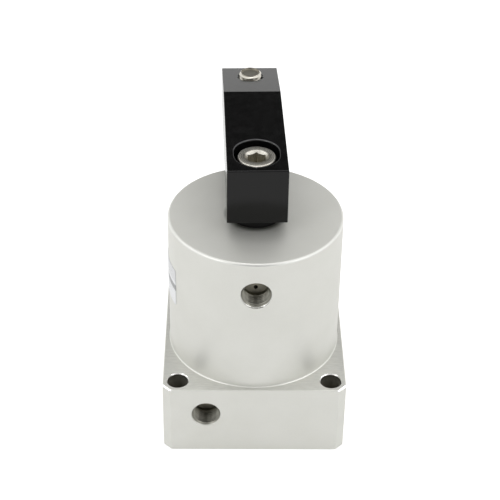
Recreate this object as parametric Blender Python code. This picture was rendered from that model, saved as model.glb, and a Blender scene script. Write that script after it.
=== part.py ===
"""Swing clamp cylinder: a double-acting air cylinder whose rod lifts and turns a clamp arm.

A one-piece anodised housing has a square foot with four bolt holes and a round barrel on it. A cover and a
snap ring close the barrel from below. A guide shaft with two helical grooves stands on the cover inside the
hollow piston rod, and two pins in the rod ride in its grooves, so the rod turns a quarter turn as it rises.

Frame: metres, +Z up, origin on the rod's axis at the underside of the foot, air ports facing -Y, and the
clamp arm pointing to +Y. The rest pose is the clamped one, with the rod drawn in.
"""
import math

import bmesh
import bpy
from mathutils import Matrix, Vector

MM = 0.001

# Clearances between neighbouring pieces.
SEAT_GAP = 0.3 * MM
BORE_GAP = 0.25 * MM
RUN_GAP = 0.25 * MM
RING_WALL_GAP = 0.15 * MM

# Foot and barrel of the housing. The bore takes a share of the barrel's radius.
FOOT_WIDTH = 63.5 * MM
FOOT_HEIGHT = 27.5 * MM
FOOT_CORNER = 2.7 * MM
BOLT_FROM_EDGE = 5.25 * MM
BOLT_HOLE_RADIUS = 3.5 * MM
BOLT_HOLE_CHAMFER = 0.5 * MM
BARREL_SET_BACK = 1.75 * MM
BARREL_TOP_ROUND = 1.2 * MM
BARREL_FOOT_ROUND = 0.6 * MM
HOUSING_HEIGHT = 79.5 * MM
END_WALL = 12.5 * MM
BORE_SHARE = 2 / 3

# Air ports, both tapped Rc 1/8 and open towards -Y. A land is the wall left between port and bore.
PORT_RADIUS = 4.87 * MM
PORT_DRILL_CONE = 1.2 * MM
UPPER_PORT_FROM_TOP = 12.6 * MM
UPPER_PORT_LAND = 2.5 * MM
UPPER_PORT_CHAMFER = 0.68 * MM
UPPER_PASSAGE_RADIUS = 0.7 * MM
UPPER_PASSAGE_DROP = 2.25 * MM
LOWER_PORT_FROM_BOLT = 9.8 * MM
LOWER_PORT_RISE = 4.2 * MM
LOWER_PORT_LAND = 3.75 * MM
LOWER_PORT_CHAMFER = 0.45 * MM
LOWER_PASSAGE_RADIUS = 1.5 * MM
LOWER_PASSAGE_TURN = math.radians(20)
PASSAGE_REACH = 3.0 * MM

# Cover that closes the barrel from below, its snap ring, seal and dowel.
COVER_OVER_BORE = 1.25 * MM
COVER_TOP = 12.3 * MM
COVER_STEP = 3.1 * MM
COVER_RIM = 6.25 * MM
COVER_FLOOR = 4.0 * MM
COVER_SEAL_RISE = 3.2 * MM
COVER_SEAL_CORD = 1.9 * MM
SNAP_RING_THICKNESS = 1.5 * MM
SNAP_RING_WIDTH = 3.8 * MM
SNAP_RING_GROOVE_DEPTH = 1.3 * MM
SNAP_RING_GAP_ANGLE = math.radians(44)
SNAP_RING_LUG_ANGLE = math.radians(15)
SNAP_RING_LUG_DEPTH = 2.0 * MM
SNAP_RING_EYE_RADIUS = 0.9 * MM
DOWEL_RADIUS = 1.0 * MM
DOWEL_LENGTH = 7.0 * MM
DOWEL_OUTSIDE_BORE = 0.7 * MM
PIN_EDGE = 0.2 * MM

# Guide shaft and the pins that ride in its grooves.
SWING = math.radians(90)
SHAFT_BELOW_ROOF = 3.0 * MM
SHAFT_FLANGE_WIDTH = 2.0 * MM
SHAFT_FLANGE_HEIGHT = 2.8 * MM
SHAFT_SPIGOT_STEP = 0.8 * MM
SHAFT_EDGE = 0.5 * MM
SHAFT_PIN_RADIUS = 1.2 * MM
SHAFT_PIN_LENGTH = 16.4 * MM
SHAFT_PIN_SUNK = 2.4 * MM
GUIDE_PIN_RADIUS = 1.5 * MM
GUIDE_PIN_RISE = 10.2 * MM
GROOVE_DEPTH = 1.9 * MM
GROOVE_SIDE_GAP = 0.35 * MM

# Piston, its rings and the nut that holds it on the rod. A rise is a height above the piston's underside, and a
# share is a part of the width between two neighbouring radii.
PISTON_GAP = 0.4 * MM
PISTON_LENGTH = 20.4 * MM
PISTON_LAND_SHARE = 0.842
PISTON_LOWER_LAND = 3.2 * MM
PISTON_UPPER_LAND = 2.6 * MM
PISTON_SEAL_RISE = 13.2 * MM
PISTON_SEAL_WIDTH = 4.0 * MM
PISTON_SEAL_DEPTH = 3.0 * MM
PISTON_SEAL_WAIST = 0.7 * MM
WEAR_RING_RISE = 7.2 * MM
WEAR_RING_WIDTH = 4.0 * MM
WEAR_RING_DEPTH = 1.7 * MM
WEAR_RING_SLIT = 1.0 * MM
PISTON_O_RING_RISE = 14.2 * MM
PISTON_O_RING_CORD = 1.4 * MM
PISTON_NUT_RECESS = 5.0 * MM
PISTON_RECESS_GAP = 1.0 * MM
PISTON_NUT_SHARE = 0.42
PISTON_NUT_HEIGHT = 4.1 * MM
PISTON_NUT_SLOT = 3.0 * MM
PISTON_NUT_SLOT_DEPTH = 1.5 * MM
PISTON_ROD_SEAT = 3.0 * MM
RING_EDGE = 0.4 * MM

# Piston rod, with a spigot for the arm and a tapped hole for the arm's screw.
ROD_RADIUS = 8.0 * MM
ROD_TAIL_STEP = 1.0 * MM
ROD_TAIL_WALL = 1.9 * MM
ROD_BORE_ROOF = 15.2 * MM
ROD_BORE_CONE = 2.0 * MM
ROD_EDGE = 0.4 * MM
ROD_SPIGOT_WALL = 1.75 * MM
ROD_FLAT_WALL = 0.95 * MM
ROD_SPIGOT_HEIGHT = 6.5 * MM
ROD_SPIGOT_ROOT = 2.0 * MM
ROD_TAP_ALLOWANCE = 1.7 * MM

# Bumpers, and the bushing, seal and scraper round the rod in the end wall.
LOWER_BUMPER_THICKNESS = 2.95 * MM
LOWER_BUMPER_SHARE = 0.27
UPPER_BUMPER_THICKNESS = 2.25 * MM
BUSHING_WALL = 2.0 * MM
BUSHING_LENGTH = 5.6 * MM
GLAND_LAND = 0.6 * MM
ROD_SEAL_WIDTH = 3.1 * MM
ROD_SEAL_HEIGHT = 2.4 * MM
ROD_SEAL_WEB = 1.1 * MM
ROD_SEAL_NOTCH_MOUTH = 0.7 * MM
ROD_SEAL_NOTCH_FLOOR = 0.3 * MM
SCRAPER_FLANGE_WIDTH = 2.5 * MM
SCRAPER_FLANGE_HEIGHT = 1.1 * MM
SCRAPER_LIP_WIDTH = 0.6 * MM
SCRAPER_PROUD = 2.0 * MM
SCRAPER_EDGE = 0.2 * MM

# Clamp arm and the screw that holds it on the rod.
ARM_TURN = math.radians(1.55)
ARM_WIDTH = 20.3 * MM
ARM_HEIGHT = 20.3 * MM
ARM_CLEARANCE = 3.7 * MM
ARM_BACK = 11.3 * MM
ARM_FLAT = 41.5 * MM
ARM_REACH = 67.1 * MM
ARM_TIP_DROP = 4.3 * MM
ARM_EDGE = 0.2 * MM
SCREW_RADIUS = 4.0 * MM
SCREW_HEAD_WIDTH = 2.5 * MM
SCREW_HEAD_HEIGHT = 8.0 * MM
SCREW_LENGTH = 20.0 * MM
SCREW_EDGE = 0.5 * MM
SCREW_SOCKET_HALF_FLAT = 3.0 * MM
SCREW_SOCKET_DEPTH = 4.0 * MM
SCREW_HEAD_SUNK = 1.2 * MM
SCREW_HEAD_GAP = 1.1 * MM
SCREW_HOLE_GAP = 0.5 * MM
COUNTERBORE_CHAMFER = 0.4 * MM
COUNTERBORE_STRETCH = 1.0 * MM

# Clamp bolt in the arm's tip, with its lock nut below.
BOLT_FROM_TIP = 8.8 * MM
BOLT_RADIUS = 4.0 * MM
BOLT_PROUD = 1.6 * MM
BOLT_END_CHAMFER = 0.5 * MM
BOLT_LENGTH = 32.0 * MM
BOLT_HEAD_HEIGHT = 5.3 * MM
BOLT_HEAD_WIDTH = 2.5 * MM
LOCK_NUT_HEIGHT = 6.5 * MM
TIP_HOLE_CHAMFER = 0.5 * MM
HEX_FACE_SHARE = 0.95
HEX_TURNING_ANGLE = math.radians(30)

# Type label wrapped round the barrel.
LABEL_THICKNESS = 0.25 * MM
LABEL_GAP = 0.1 * MM
LABEL_FROM_TOP = 15.1 * MM
LABEL_HEIGHT = 14.4 * MM
LABEL_FRONT_ANGLE = math.radians(205.7)
LABEL_LENGTH = 40.0 * MM

# Number of sides and steps of the round shapes.
BARREL_SIDES = 72
BORE_SIDES = 40
PART_SIDES = 32
HOLE_SIDES = 24
PIN_SIDES = 12
ROUND_STEPS = 3
FLATTED_STEPS = 8
CORD_STEPS = 8
GROOVE_STEPS = 16
SNAP_RING_STEPS = 36
LUG_STEPS = 3
LABEL_STEPS = 24
SHARP_ANGLE = math.radians(30)

# How far a cutter reaches past the surface that it cuts. The arm's tip slopes, so its cutter reaches further.
CUT_OVER = 1.0 * MM
TIP_CUT_OVER = 3.0 * MM

# Heights and radii of the housing that follow from the sizes above.
FOOT_HALF = FOOT_WIDTH / 2
BOLT_OFFSET = FOOT_HALF - BOLT_FROM_EDGE
BARREL_RADIUS = FOOT_HALF - BARREL_SET_BACK
BORE_RADIUS = BARREL_RADIUS * BORE_SHARE
CHAMBER_TOP = HOUSING_HEIGHT - END_WALL
UPPER_PORT_Z = HOUSING_HEIGHT - UPPER_PORT_FROM_TOP
UPPER_PORT_DEPTH = BARREL_RADIUS - BORE_RADIUS - UPPER_PORT_LAND
LOWER_PORT_X = -(BOLT_OFFSET - LOWER_PORT_FROM_BOLT)
LOWER_PORT_Z = COVER_TOP + LOWER_PORT_RISE
LOWER_PORT_DEPTH = FOOT_HALF - BORE_RADIUS - LOWER_PORT_LAND

# Cover and snap ring.
COVER_RADIUS = BORE_RADIUS + COVER_OVER_BORE
COVER_HUB_RADIUS = COVER_RADIUS - COVER_RIM
COVER_SEAT_RADIUS = COVER_RADIUS + BORE_GAP
COVER_SHOULDER = COVER_TOP + SEAT_GAP
COVER_SEAL_Z = COVER_STEP + COVER_SEAL_RISE
SNAP_RING_TOP = COVER_STEP - BORE_GAP
SNAP_RING_BOTTOM = SNAP_RING_TOP - SNAP_RING_THICKNESS
SNAP_GROOVE_RADIUS = COVER_SEAT_RADIUS + SNAP_RING_GROOVE_DEPTH
SNAP_RING_RADIUS = SNAP_GROOVE_RADIUS - BORE_GAP
DOWEL_OFFSET = BORE_RADIUS + DOWEL_OUTSIDE_BORE
DOWEL_BOTTOM = COVER_TOP - DOWEL_LENGTH / 2

# Piston, and the stroke that is left between it and the upper bumper.
LOWER_BUMPER_TOP = COVER_TOP + SEAT_GAP + LOWER_BUMPER_THICKNESS
PISTON_BOTTOM = LOWER_BUMPER_TOP + RUN_GAP
PISTON_TOP = PISTON_BOTTOM + PISTON_LENGTH
PISTON_RADIUS = BORE_RADIUS - PISTON_GAP
PISTON_LAND_RADIUS = PISTON_RADIUS * PISTON_LAND_SHARE
PISTON_SEAL_Z = PISTON_BOTTOM + PISTON_SEAL_RISE
WEAR_RING_Z = PISTON_BOTTOM + WEAR_RING_RISE
PISTON_O_RING_Z = PISTON_BOTTOM + PISTON_O_RING_RISE
PISTON_RECESS_TOP = PISTON_BOTTOM + PISTON_NUT_RECESS
PISTON_NUT_TOP = PISTON_RECESS_TOP - SEAT_GAP
UPPER_BUMPER_BOTTOM = CHAMBER_TOP - SEAT_GAP - UPPER_BUMPER_THICKNESS
STROKE = UPPER_BUMPER_BOTTOM - RUN_GAP - PISTON_TOP

# Rod and guide shaft.
ROD_TAIL_RADIUS = ROD_RADIUS - ROD_TAIL_STEP
ROD_BORE_RADIUS = ROD_TAIL_RADIUS - ROD_TAIL_WALL
ROD_BOTTOM = PISTON_NUT_TOP - PISTON_NUT_HEIGHT
ROD_SHOULDER = PISTON_TOP - PISTON_ROD_SEAT + BORE_GAP
PISTON_NUT_RADIUS = ROD_TAIL_RADIUS + (PISTON_LAND_RADIUS - ROD_TAIL_RADIUS) * PISTON_NUT_SHARE
LOWER_BUMPER_RADIUS = PISTON_NUT_RADIUS + (PISTON_LAND_RADIUS - PISTON_NUT_RADIUS) * LOWER_BUMPER_SHARE
SHAFT_TOP = CHAMBER_TOP - SHAFT_BELOW_ROOF
SHAFT_RADIUS = ROD_BORE_RADIUS - SEAT_GAP
SHAFT_FLANGE_RADIUS = SHAFT_RADIUS + SHAFT_FLANGE_WIDTH
SHAFT_SPIGOT_RADIUS = SHAFT_RADIUS - SHAFT_SPIGOT_STEP
SHAFT_FLANGE_BOTTOM = COVER_TOP + SEAT_GAP
SHAFT_FLANGE_TOP = SHAFT_FLANGE_BOTTOM + SHAFT_FLANGE_HEIGHT
SHAFT_PIN_Z = COVER_TOP - SHAFT_PIN_SUNK
GUIDE_PIN_Z = PISTON_BOTTOM + GUIDE_PIN_RISE
GROOVE_FLOOR_RADIUS = SHAFT_RADIUS - GROOVE_DEPTH
GROOVE_BOTTOM = GUIDE_PIN_Z - GUIDE_PIN_RADIUS - SEAT_GAP
GROOVE_RATE = SWING / STROKE
HELIX_ANGLE = math.atan(SHAFT_RADIUS * GROOVE_RATE)
GROOVE_HALF_WIDTH = GUIDE_PIN_RADIUS / math.cos(HELIX_ANGLE) + GROOVE_SIDE_GAP

# Arm, its screw, and the spigot that the screw draws it on to.
ARM_BOTTOM = HOUSING_HEIGHT + ARM_CLEARANCE
ARM_TOP = ARM_BOTTOM + ARM_HEIGHT
TAP_RADIUS = SCREW_RADIUS + RUN_GAP
SCREW_HEAD_RADIUS = SCREW_RADIUS + SCREW_HEAD_WIDTH
SCREW_COUNTERBORE_RADIUS = SCREW_HEAD_RADIUS + SCREW_HEAD_GAP
SCREW_HOLE_RADIUS = SCREW_RADIUS + SCREW_HOLE_GAP
SCREW_SEAT = ARM_TOP - SCREW_HEAD_SUNK - SCREW_HEAD_HEIGHT
SCREW_TIP = SCREW_SEAT - SCREW_LENGTH
ROD_TOP = ARM_BOTTOM - SEAT_GAP
ROD_BORE_TOP = ROD_TOP - ROD_BORE_ROOF
ROD_SPIGOT_TOP = ROD_TOP + ROD_SPIGOT_HEIGHT
ROD_SPIGOT_RADIUS = TAP_RADIUS + ROD_SPIGOT_WALL
ROD_SPIGOT_HALF_FLAT = TAP_RADIUS + ROD_FLAT_WALL
ROD_TAP_DEPTH = ROD_SPIGOT_TOP - SCREW_TIP + ROD_TAP_ALLOWANCE

# Clamp bolt.
BOLT_Y = ARM_REACH - BOLT_FROM_TIP
TIP_SLOPE = ARM_TIP_DROP / (ARM_REACH - ARM_FLAT)
BOLT_SURFACE = ARM_TOP - TIP_SLOPE * (BOLT_Y - ARM_FLAT)
BOLT_TOP = BOLT_SURFACE + BOLT_PROUD
BOLT_HEAD_TOP = BOLT_TOP - BOLT_LENGTH
BOLT_TAP_RADIUS = BOLT_RADIUS + RUN_GAP
HEX_HALF_FLAT = BOLT_RADIUS + BOLT_HEAD_WIDTH

# Rod gland in the end wall.
GLAND_BORE_RADIUS = ROD_RADIUS + 2 * RUN_GAP
RUNNING_RADIUS = ROD_RADIUS + RUN_GAP
BUSHING_OUTER_RADIUS = ROD_RADIUS + BUSHING_WALL
BUSHING_SEAT_TOP = CHAMBER_TOP + BUSHING_LENGTH + SEAT_GAP
ROD_SEAL_RADIUS = ROD_RADIUS + ROD_SEAL_WIDTH
ROD_SEAL_BOTTOM = BUSHING_SEAT_TOP + GLAND_LAND + BORE_GAP
ROD_SEAL_TOP = ROD_SEAL_BOTTOM + ROD_SEAL_HEIGHT
SCRAPER_BOTTOM = ROD_SEAL_TOP + GLAND_LAND + 2 * BORE_GAP
SCRAPER_SHOULDER = SCRAPER_BOTTOM + SCRAPER_FLANGE_HEIGHT
SCRAPER_FLANGE_RADIUS = ROD_RADIUS + SCRAPER_FLANGE_WIDTH
SCRAPER_LIP_RADIUS = ROD_RADIUS + SCRAPER_LIP_WIDTH
SCRAPER_TOP = HOUSING_HEIGHT + SCRAPER_PROUD

# Label.
LABEL_TOP = HOUSING_HEIGHT - LABEL_FROM_TOP


def clear_scene():
    """Removes whatever the opened file holds."""
    for obj in list(bpy.data.objects):
        bpy.data.objects.remove(obj, do_unlink=True)


def finish(name, color, roughness, metallic):
    """A Principled material with one colour."""
    material = bpy.data.materials.new(name)
    material.use_nodes = True
    shader = material.node_tree.nodes["Principled BSDF"]
    shader.inputs["Base Color"].default_value = (*color, 1.0)
    shader.inputs["Roughness"].default_value = roughness
    shader.inputs["Metallic"].default_value = metallic
    material.diffuse_color = (*color, 1.0)
    return material


def mesh_object(name, bm, material):
    """An object made from the bmesh, with its faces pointing outwards."""
    bmesh.ops.recalc_face_normals(bm, faces=bm.faces)
    mesh = bpy.data.meshes.new(name)
    bm.to_mesh(mesh)
    bm.free()
    if material:
        mesh.materials.append(material)
    mesh.shade_smooth()
    mesh.set_sharp_from_angle(angle=SHARP_ANGLE)
    obj = bpy.data.objects.new(name, mesh)
    bpy.context.scene.collection.objects.link(obj)
    return obj


def turned_bmesh(outline, sides):
    """A body of revolution about Z from a closed outline of (radius, height) points."""
    bm = bmesh.new()
    rings = []
    for radius, height in outline:
        if radius == 0:
            rings.append([bm.verts.new((0, 0, height))] * sides)
            continue
        ring = []
        for k in range(sides):
            angle = 2 * math.pi * k / sides
            ring.append(bm.verts.new((radius * math.cos(angle), radius * math.sin(angle), height)))
        rings.append(ring)
    for i, ring in enumerate(rings):
        above = rings[(i + 1) % len(rings)]
        for k in range(sides):
            corners = [ring[k], ring[(k + 1) % sides], above[(k + 1) % sides], above[k]]
            corners = list(dict.fromkeys(corners))
            if len(corners) > 2:
                bm.faces.new(corners)
    return bm


def turned(name, outline, material=None, sides=PART_SIDES):
    """A turned piece, closed and solid."""
    return mesh_object(name, turned_bmesh(outline, sides), material)


def drawn_out(piece, stretch, sides=PART_SIDES):
    """Draws a turned piece out along Y: its front and rear halves move apart by the stretch each."""
    piece.data.transform(Matrix.Rotation(math.pi / sides, 4, "Z"))
    for vertex in piece.data.vertices:
        if vertex.co.y:
            vertex.co.y += math.copysign(stretch, vertex.co.y)
    return piece


def prism(name, outline, bottom, top, material=None):
    """A straight prism on a closed outline of (x, y) points."""
    bm = bmesh.new()
    low = [bm.verts.new((x, y, bottom)) for x, y in outline]
    high = [bm.verts.new((x, y, top)) for x, y in outline]
    bm.faces.new(low)
    bm.faces.new(high)
    for k in range(len(outline)):
        after = (k + 1) % len(outline)
        bm.faces.new((low[k], low[after], high[after], high[k]))
    return mesh_object(name, bm, material)


def combine(target, other, operation):
    """Adds a Boolean of the other object, which becomes a hidden helper."""
    other.hide_render = True
    other.display_type = "WIRE"
    other.parent = target
    modifier = target.modifiers.new(other.name, "BOOLEAN")
    modifier.operation = operation
    modifier.solver = "EXACT"
    modifier.object = other


def aim(obj, place, direction):
    """Puts the object's origin at a place and turns its Z axis to a direction."""
    turn = Vector((0, 0, 1)).rotation_difference(Vector(direction))
    obj.matrix_world = Matrix.Translation(place) @ turn.to_matrix().to_4x4()


def drill(target, name, place, direction, radius, depth, sides=HOLE_SIDES):
    """Cuts a straight hole that runs from a place along a direction."""
    cutter = turned(name, [(0, 0), (radius, 0), (radius, depth), (0, depth)], sides=sides)
    aim(cutter, place, direction)
    combine(target, cutter, "DIFFERENCE")


def quarter_round(center, radius, start):
    """Points of a quarter circle in (radius, height), from a start angle in degrees, anticlockwise."""
    points = []
    for k in range(ROUND_STEPS + 1):
        angle = math.radians(start + 90 * k / ROUND_STEPS)
        points.append((center[0] + radius * math.cos(angle), center[1] + radius * math.sin(angle)))
    return points


def cord_ring(name, radius, height, cord, material):
    """An O-ring: a round cord of a given thickness, turned about Z."""
    outline = []
    for k in range(CORD_STEPS):
        angle = 2 * math.pi * k / CORD_STEPS
        outline.append((radius + cord / 2 * math.cos(angle), height + cord / 2 * math.sin(angle)))
    return turned(name, outline, material)


def band(inner, outer, bottom, top, edge=0.0):
    """The outline of a plain ring, with its outer edges broken."""
    return [(inner, bottom), (outer - edge, bottom), (outer, bottom + edge),
            (outer, top - edge), (outer - edge, top), (inner, top)]


def hexagon(half_flat):
    """A hexagon of (x, y) points that is 2 * half_flat wide across its flats."""
    corner = half_flat / math.cos(math.pi / 6)
    return [(corner * math.cos(math.pi * k / 3), corner * math.sin(math.pi * k / 3)) for k in range(6)]


def flatted_round(radius, half_flat):
    """A circle of (x, y) points cut by two flats at x = half_flat and x = -half_flat."""
    reach = math.acos(half_flat / radius)
    points = []
    spread = math.pi / 2 - reach
    for middle in (math.pi / 2, -math.pi / 2):
        for k in range(FLATTED_STEPS + 1):
            angle = middle - spread + 2 * spread * k / FLATTED_STEPS
            points.append((radius * math.cos(angle), radius * math.sin(angle)))
    return points


def arc_points(radius, start, end, steps):
    """Points (x, y) on a circle about the origin."""
    points = []
    for k in range(steps + 1):
        angle = start + (end - start) * k / steps
        points.append((radius * math.cos(angle), radius * math.sin(angle)))
    return points


def port_cutter(target, name, place, depth, chamfer):
    """Cuts a tapped port with a chamfered mouth and a drill cone, from its mouth towards +Y."""
    outline = [(0, -CUT_OVER), (PORT_RADIUS + chamfer + CUT_OVER, -CUT_OVER), (PORT_RADIUS, chamfer),
               (PORT_RADIUS, depth), (0, depth + PORT_DRILL_CONE)]
    cutter = turned(name, outline, sides=HOLE_SIDES)
    aim(cutter, place, (0, 1, 0))
    combine(target, cutter, "DIFFERENCE")


def housing_body(material):
    """The housing: square foot and round barrel in one piece, bored from below."""
    inner = FOOT_HALF - FOOT_CORNER
    outline = [(-inner, -FOOT_HALF), (inner, -FOOT_HALF), (FOOT_HALF, -inner), (FOOT_HALF, inner),
               (inner, FOOT_HALF), (-inner, FOOT_HALF), (-FOOT_HALF, inner), (-FOOT_HALF, -inner)]
    housing = prism("housing", outline, 0, FOOT_HEIGHT, material)

    top_round = quarter_round((BARREL_RADIUS - BARREL_TOP_ROUND, HOUSING_HEIGHT - BARREL_TOP_ROUND),
                              BARREL_TOP_ROUND, 0)
    sunk = FOOT_HEIGHT - CUT_OVER
    flare = CUT_OVER + BARREL_FOOT_ROUND
    barrel = turned("barrel_shape", [(0, sunk), (BARREL_RADIUS + flare, sunk),
                                     (BARREL_RADIUS, FOOT_HEIGHT + BARREL_FOOT_ROUND)]
                    + top_round + [(0, HOUSING_HEIGHT)], sides=BARREL_SIDES)
    barrel.rotation_euler.z = math.pi / BARREL_SIDES
    combine(housing, barrel, "UNION")
    return housing


def housing_bore(housing):
    """Cuts the cylinder bore, the cover's seat with its snap ring groove, and the rod's gland."""
    groove_low = SNAP_RING_BOTTOM - BORE_GAP / 2
    groove_high = SNAP_RING_TOP + BORE_GAP / 2
    seal_low = ROD_SEAL_BOTTOM - BORE_GAP
    seal_high = ROD_SEAL_TOP + BORE_GAP
    scraper_low = SCRAPER_BOTTOM - BORE_GAP
    scraper_high = SCRAPER_SHOULDER + BORE_GAP
    mouth = SCRAPER_LIP_RADIUS + BORE_GAP
    outline = [
        (0, -CUT_OVER), (COVER_SEAT_RADIUS, -CUT_OVER),
        (COVER_SEAT_RADIUS, groove_low), (SNAP_GROOVE_RADIUS, groove_low),
        (SNAP_GROOVE_RADIUS, groove_high), (COVER_SEAT_RADIUS, groove_high),
        (COVER_SEAT_RADIUS, COVER_SHOULDER), (BORE_RADIUS, COVER_SHOULDER),
        (BORE_RADIUS, CHAMBER_TOP), (BUSHING_OUTER_RADIUS + BORE_GAP, CHAMBER_TOP),
        (BUSHING_OUTER_RADIUS + BORE_GAP, BUSHING_SEAT_TOP), (GLAND_BORE_RADIUS, BUSHING_SEAT_TOP),
        (GLAND_BORE_RADIUS, seal_low), (ROD_SEAL_RADIUS + BORE_GAP, seal_low),
        (ROD_SEAL_RADIUS + BORE_GAP, seal_high), (GLAND_BORE_RADIUS, seal_high),
        (GLAND_BORE_RADIUS, scraper_low), (SCRAPER_FLANGE_RADIUS + BORE_GAP, scraper_low),
        (SCRAPER_FLANGE_RADIUS + BORE_GAP, scraper_high), (mouth, scraper_high),
        (mouth, HOUSING_HEIGHT + CUT_OVER), (0, HOUSING_HEIGHT + CUT_OVER),
    ]
    combine(housing, turned("bore_shape", outline, sides=BORE_SIDES), "DIFFERENCE")


def housing_holes(housing):
    """Cuts the bolt holes, the air ports with their passages, and the dowel's notch."""
    wide = BOLT_HOLE_RADIUS + BOLT_HOLE_CHAMFER + CUT_OVER
    outline = [(0, -CUT_OVER), (wide, -CUT_OVER), (BOLT_HOLE_RADIUS, BOLT_HOLE_CHAMFER),
               (BOLT_HOLE_RADIUS, FOOT_HEIGHT - BOLT_HOLE_CHAMFER),
               (wide, FOOT_HEIGHT + CUT_OVER), (0, FOOT_HEIGHT + CUT_OVER)]
    for x_sign in (-1, 1):
        for y_sign in (-1, 1):
            cutter = turned("bolt_hole", outline, sides=HOLE_SIDES)
            cutter.location = (x_sign * BOLT_OFFSET, y_sign * BOLT_OFFSET, 0)
            combine(housing, cutter, "DIFFERENCE")

    port_cutter(housing, "upper_port", (0, -BARREL_RADIUS, UPPER_PORT_Z), UPPER_PORT_DEPTH,
                UPPER_PORT_CHAMFER)
    port_cutter(housing, "lower_port", (LOWER_PORT_X, -FOOT_HALF, LOWER_PORT_Z), LOWER_PORT_DEPTH,
                LOWER_PORT_CHAMFER)

    upper_start = (0, -BARREL_RADIUS + UPPER_PORT_DEPTH, UPPER_PORT_Z - UPPER_PASSAGE_DROP)
    drill(housing, "upper_passage", upper_start, (0, 1, 0), UPPER_PASSAGE_RADIUS,
          UPPER_PORT_LAND + PASSAGE_REACH, PIN_SIDES)

    lower_start = Vector((LOWER_PORT_X, -FOOT_HALF + LOWER_PORT_DEPTH, 0))
    toward = Vector((math.sin(LOWER_PASSAGE_TURN), math.cos(LOWER_PASSAGE_TURN), 0))
    nearest = -lower_start.dot(toward)
    miss = lower_start.length_squared - nearest ** 2
    wall = nearest - math.sqrt(BORE_RADIUS ** 2 - miss)
    drill(housing, "lower_passage", (LOWER_PORT_X, lower_start.y, LOWER_PORT_Z), toward,
          LOWER_PASSAGE_RADIUS, wall + PASSAGE_REACH, PIN_SIDES)

    drill(housing, "dowel_notch", (0, DOWEL_OFFSET, DOWEL_BOTTOM - BORE_GAP), (0, 0, 1),
          DOWEL_RADIUS + BORE_GAP, DOWEL_LENGTH + 2 * BORE_GAP, PIN_SIDES)


def bottom_cover(material):
    """The cover in the foot of the barrel, with a blind bore for the guide shaft."""
    groove_floor = COVER_RADIUS - COVER_SEAL_CORD
    groove_half = COVER_SEAL_CORD / 2 + BORE_GAP
    bore = SHAFT_SPIGOT_RADIUS + BORE_GAP
    outline = [(0, 0), (COVER_HUB_RADIUS, 0), (COVER_HUB_RADIUS, COVER_STEP), (COVER_RADIUS, COVER_STEP),
               (COVER_RADIUS, COVER_SEAL_Z - groove_half), (groove_floor, COVER_SEAL_Z - groove_half),
               (groove_floor, COVER_SEAL_Z + groove_half), (COVER_RADIUS, COVER_SEAL_Z + groove_half),
               (COVER_RADIUS, COVER_TOP), (bore, COVER_TOP), (bore, COVER_FLOOR), (0, COVER_FLOOR)]
    cover = turned("bottom_cover", outline, material, BORE_SIDES)
    drill(cover, "cross_pin_hole", (-SHAFT_PIN_LENGTH / 2 - SEAT_GAP, 0, SHAFT_PIN_Z), (1, 0, 0),
          SHAFT_PIN_RADIUS + BORE_GAP, SHAFT_PIN_LENGTH / 2 + COVER_RADIUS + CUT_OVER, PIN_SIDES)
    drill(cover, "dowel_hole", (0, DOWEL_OFFSET, DOWEL_BOTTOM - BORE_GAP), (0, 0, 1),
          DOWEL_RADIUS + BORE_GAP, DOWEL_LENGTH, PIN_SIDES)
    cord_ring("cover_o_ring", groove_floor + BORE_GAP / 2 + COVER_SEAL_CORD / 2, COVER_SEAL_Z,
              COVER_SEAL_CORD, RUBBER)
    return cover


def snap_ring(material):
    """The snap ring that holds the cover: an open ring with two eyes at its ends."""
    half_gap = SNAP_RING_GAP_ANGLE / 2
    inner = SNAP_RING_RADIUS - SNAP_RING_WIDTH
    lug_inner = inner - SNAP_RING_LUG_DEPTH
    start = math.pi / 2 + half_gap
    end = math.pi / 2 - half_gap + 2 * math.pi
    outline = arc_points(SNAP_RING_RADIUS, start, end, SNAP_RING_STEPS)
    outline += arc_points(lug_inner, end, end - SNAP_RING_LUG_ANGLE, LUG_STEPS)
    outline += arc_points(inner, end - SNAP_RING_LUG_ANGLE, start + SNAP_RING_LUG_ANGLE, SNAP_RING_STEPS)
    outline += arc_points(lug_inner, start + SNAP_RING_LUG_ANGLE, start, LUG_STEPS)
    ring = prism("cover_snap_ring", outline, SNAP_RING_BOTTOM, SNAP_RING_TOP, material)
    eye_radius = (lug_inner + SNAP_RING_RADIUS) / 2 - SNAP_RING_LUG_DEPTH / 2
    for angle in (start + SNAP_RING_LUG_ANGLE / 2, end - SNAP_RING_LUG_ANGLE / 2):
        place = (eye_radius * math.cos(angle), eye_radius * math.sin(angle), SNAP_RING_BOTTOM - CUT_OVER)
        drill(ring, "snap_ring_eye", place, (0, 0, 1), SNAP_RING_EYE_RADIUS,
              SNAP_RING_THICKNESS + 2 * CUT_OVER, PIN_SIDES)
    return ring


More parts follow.
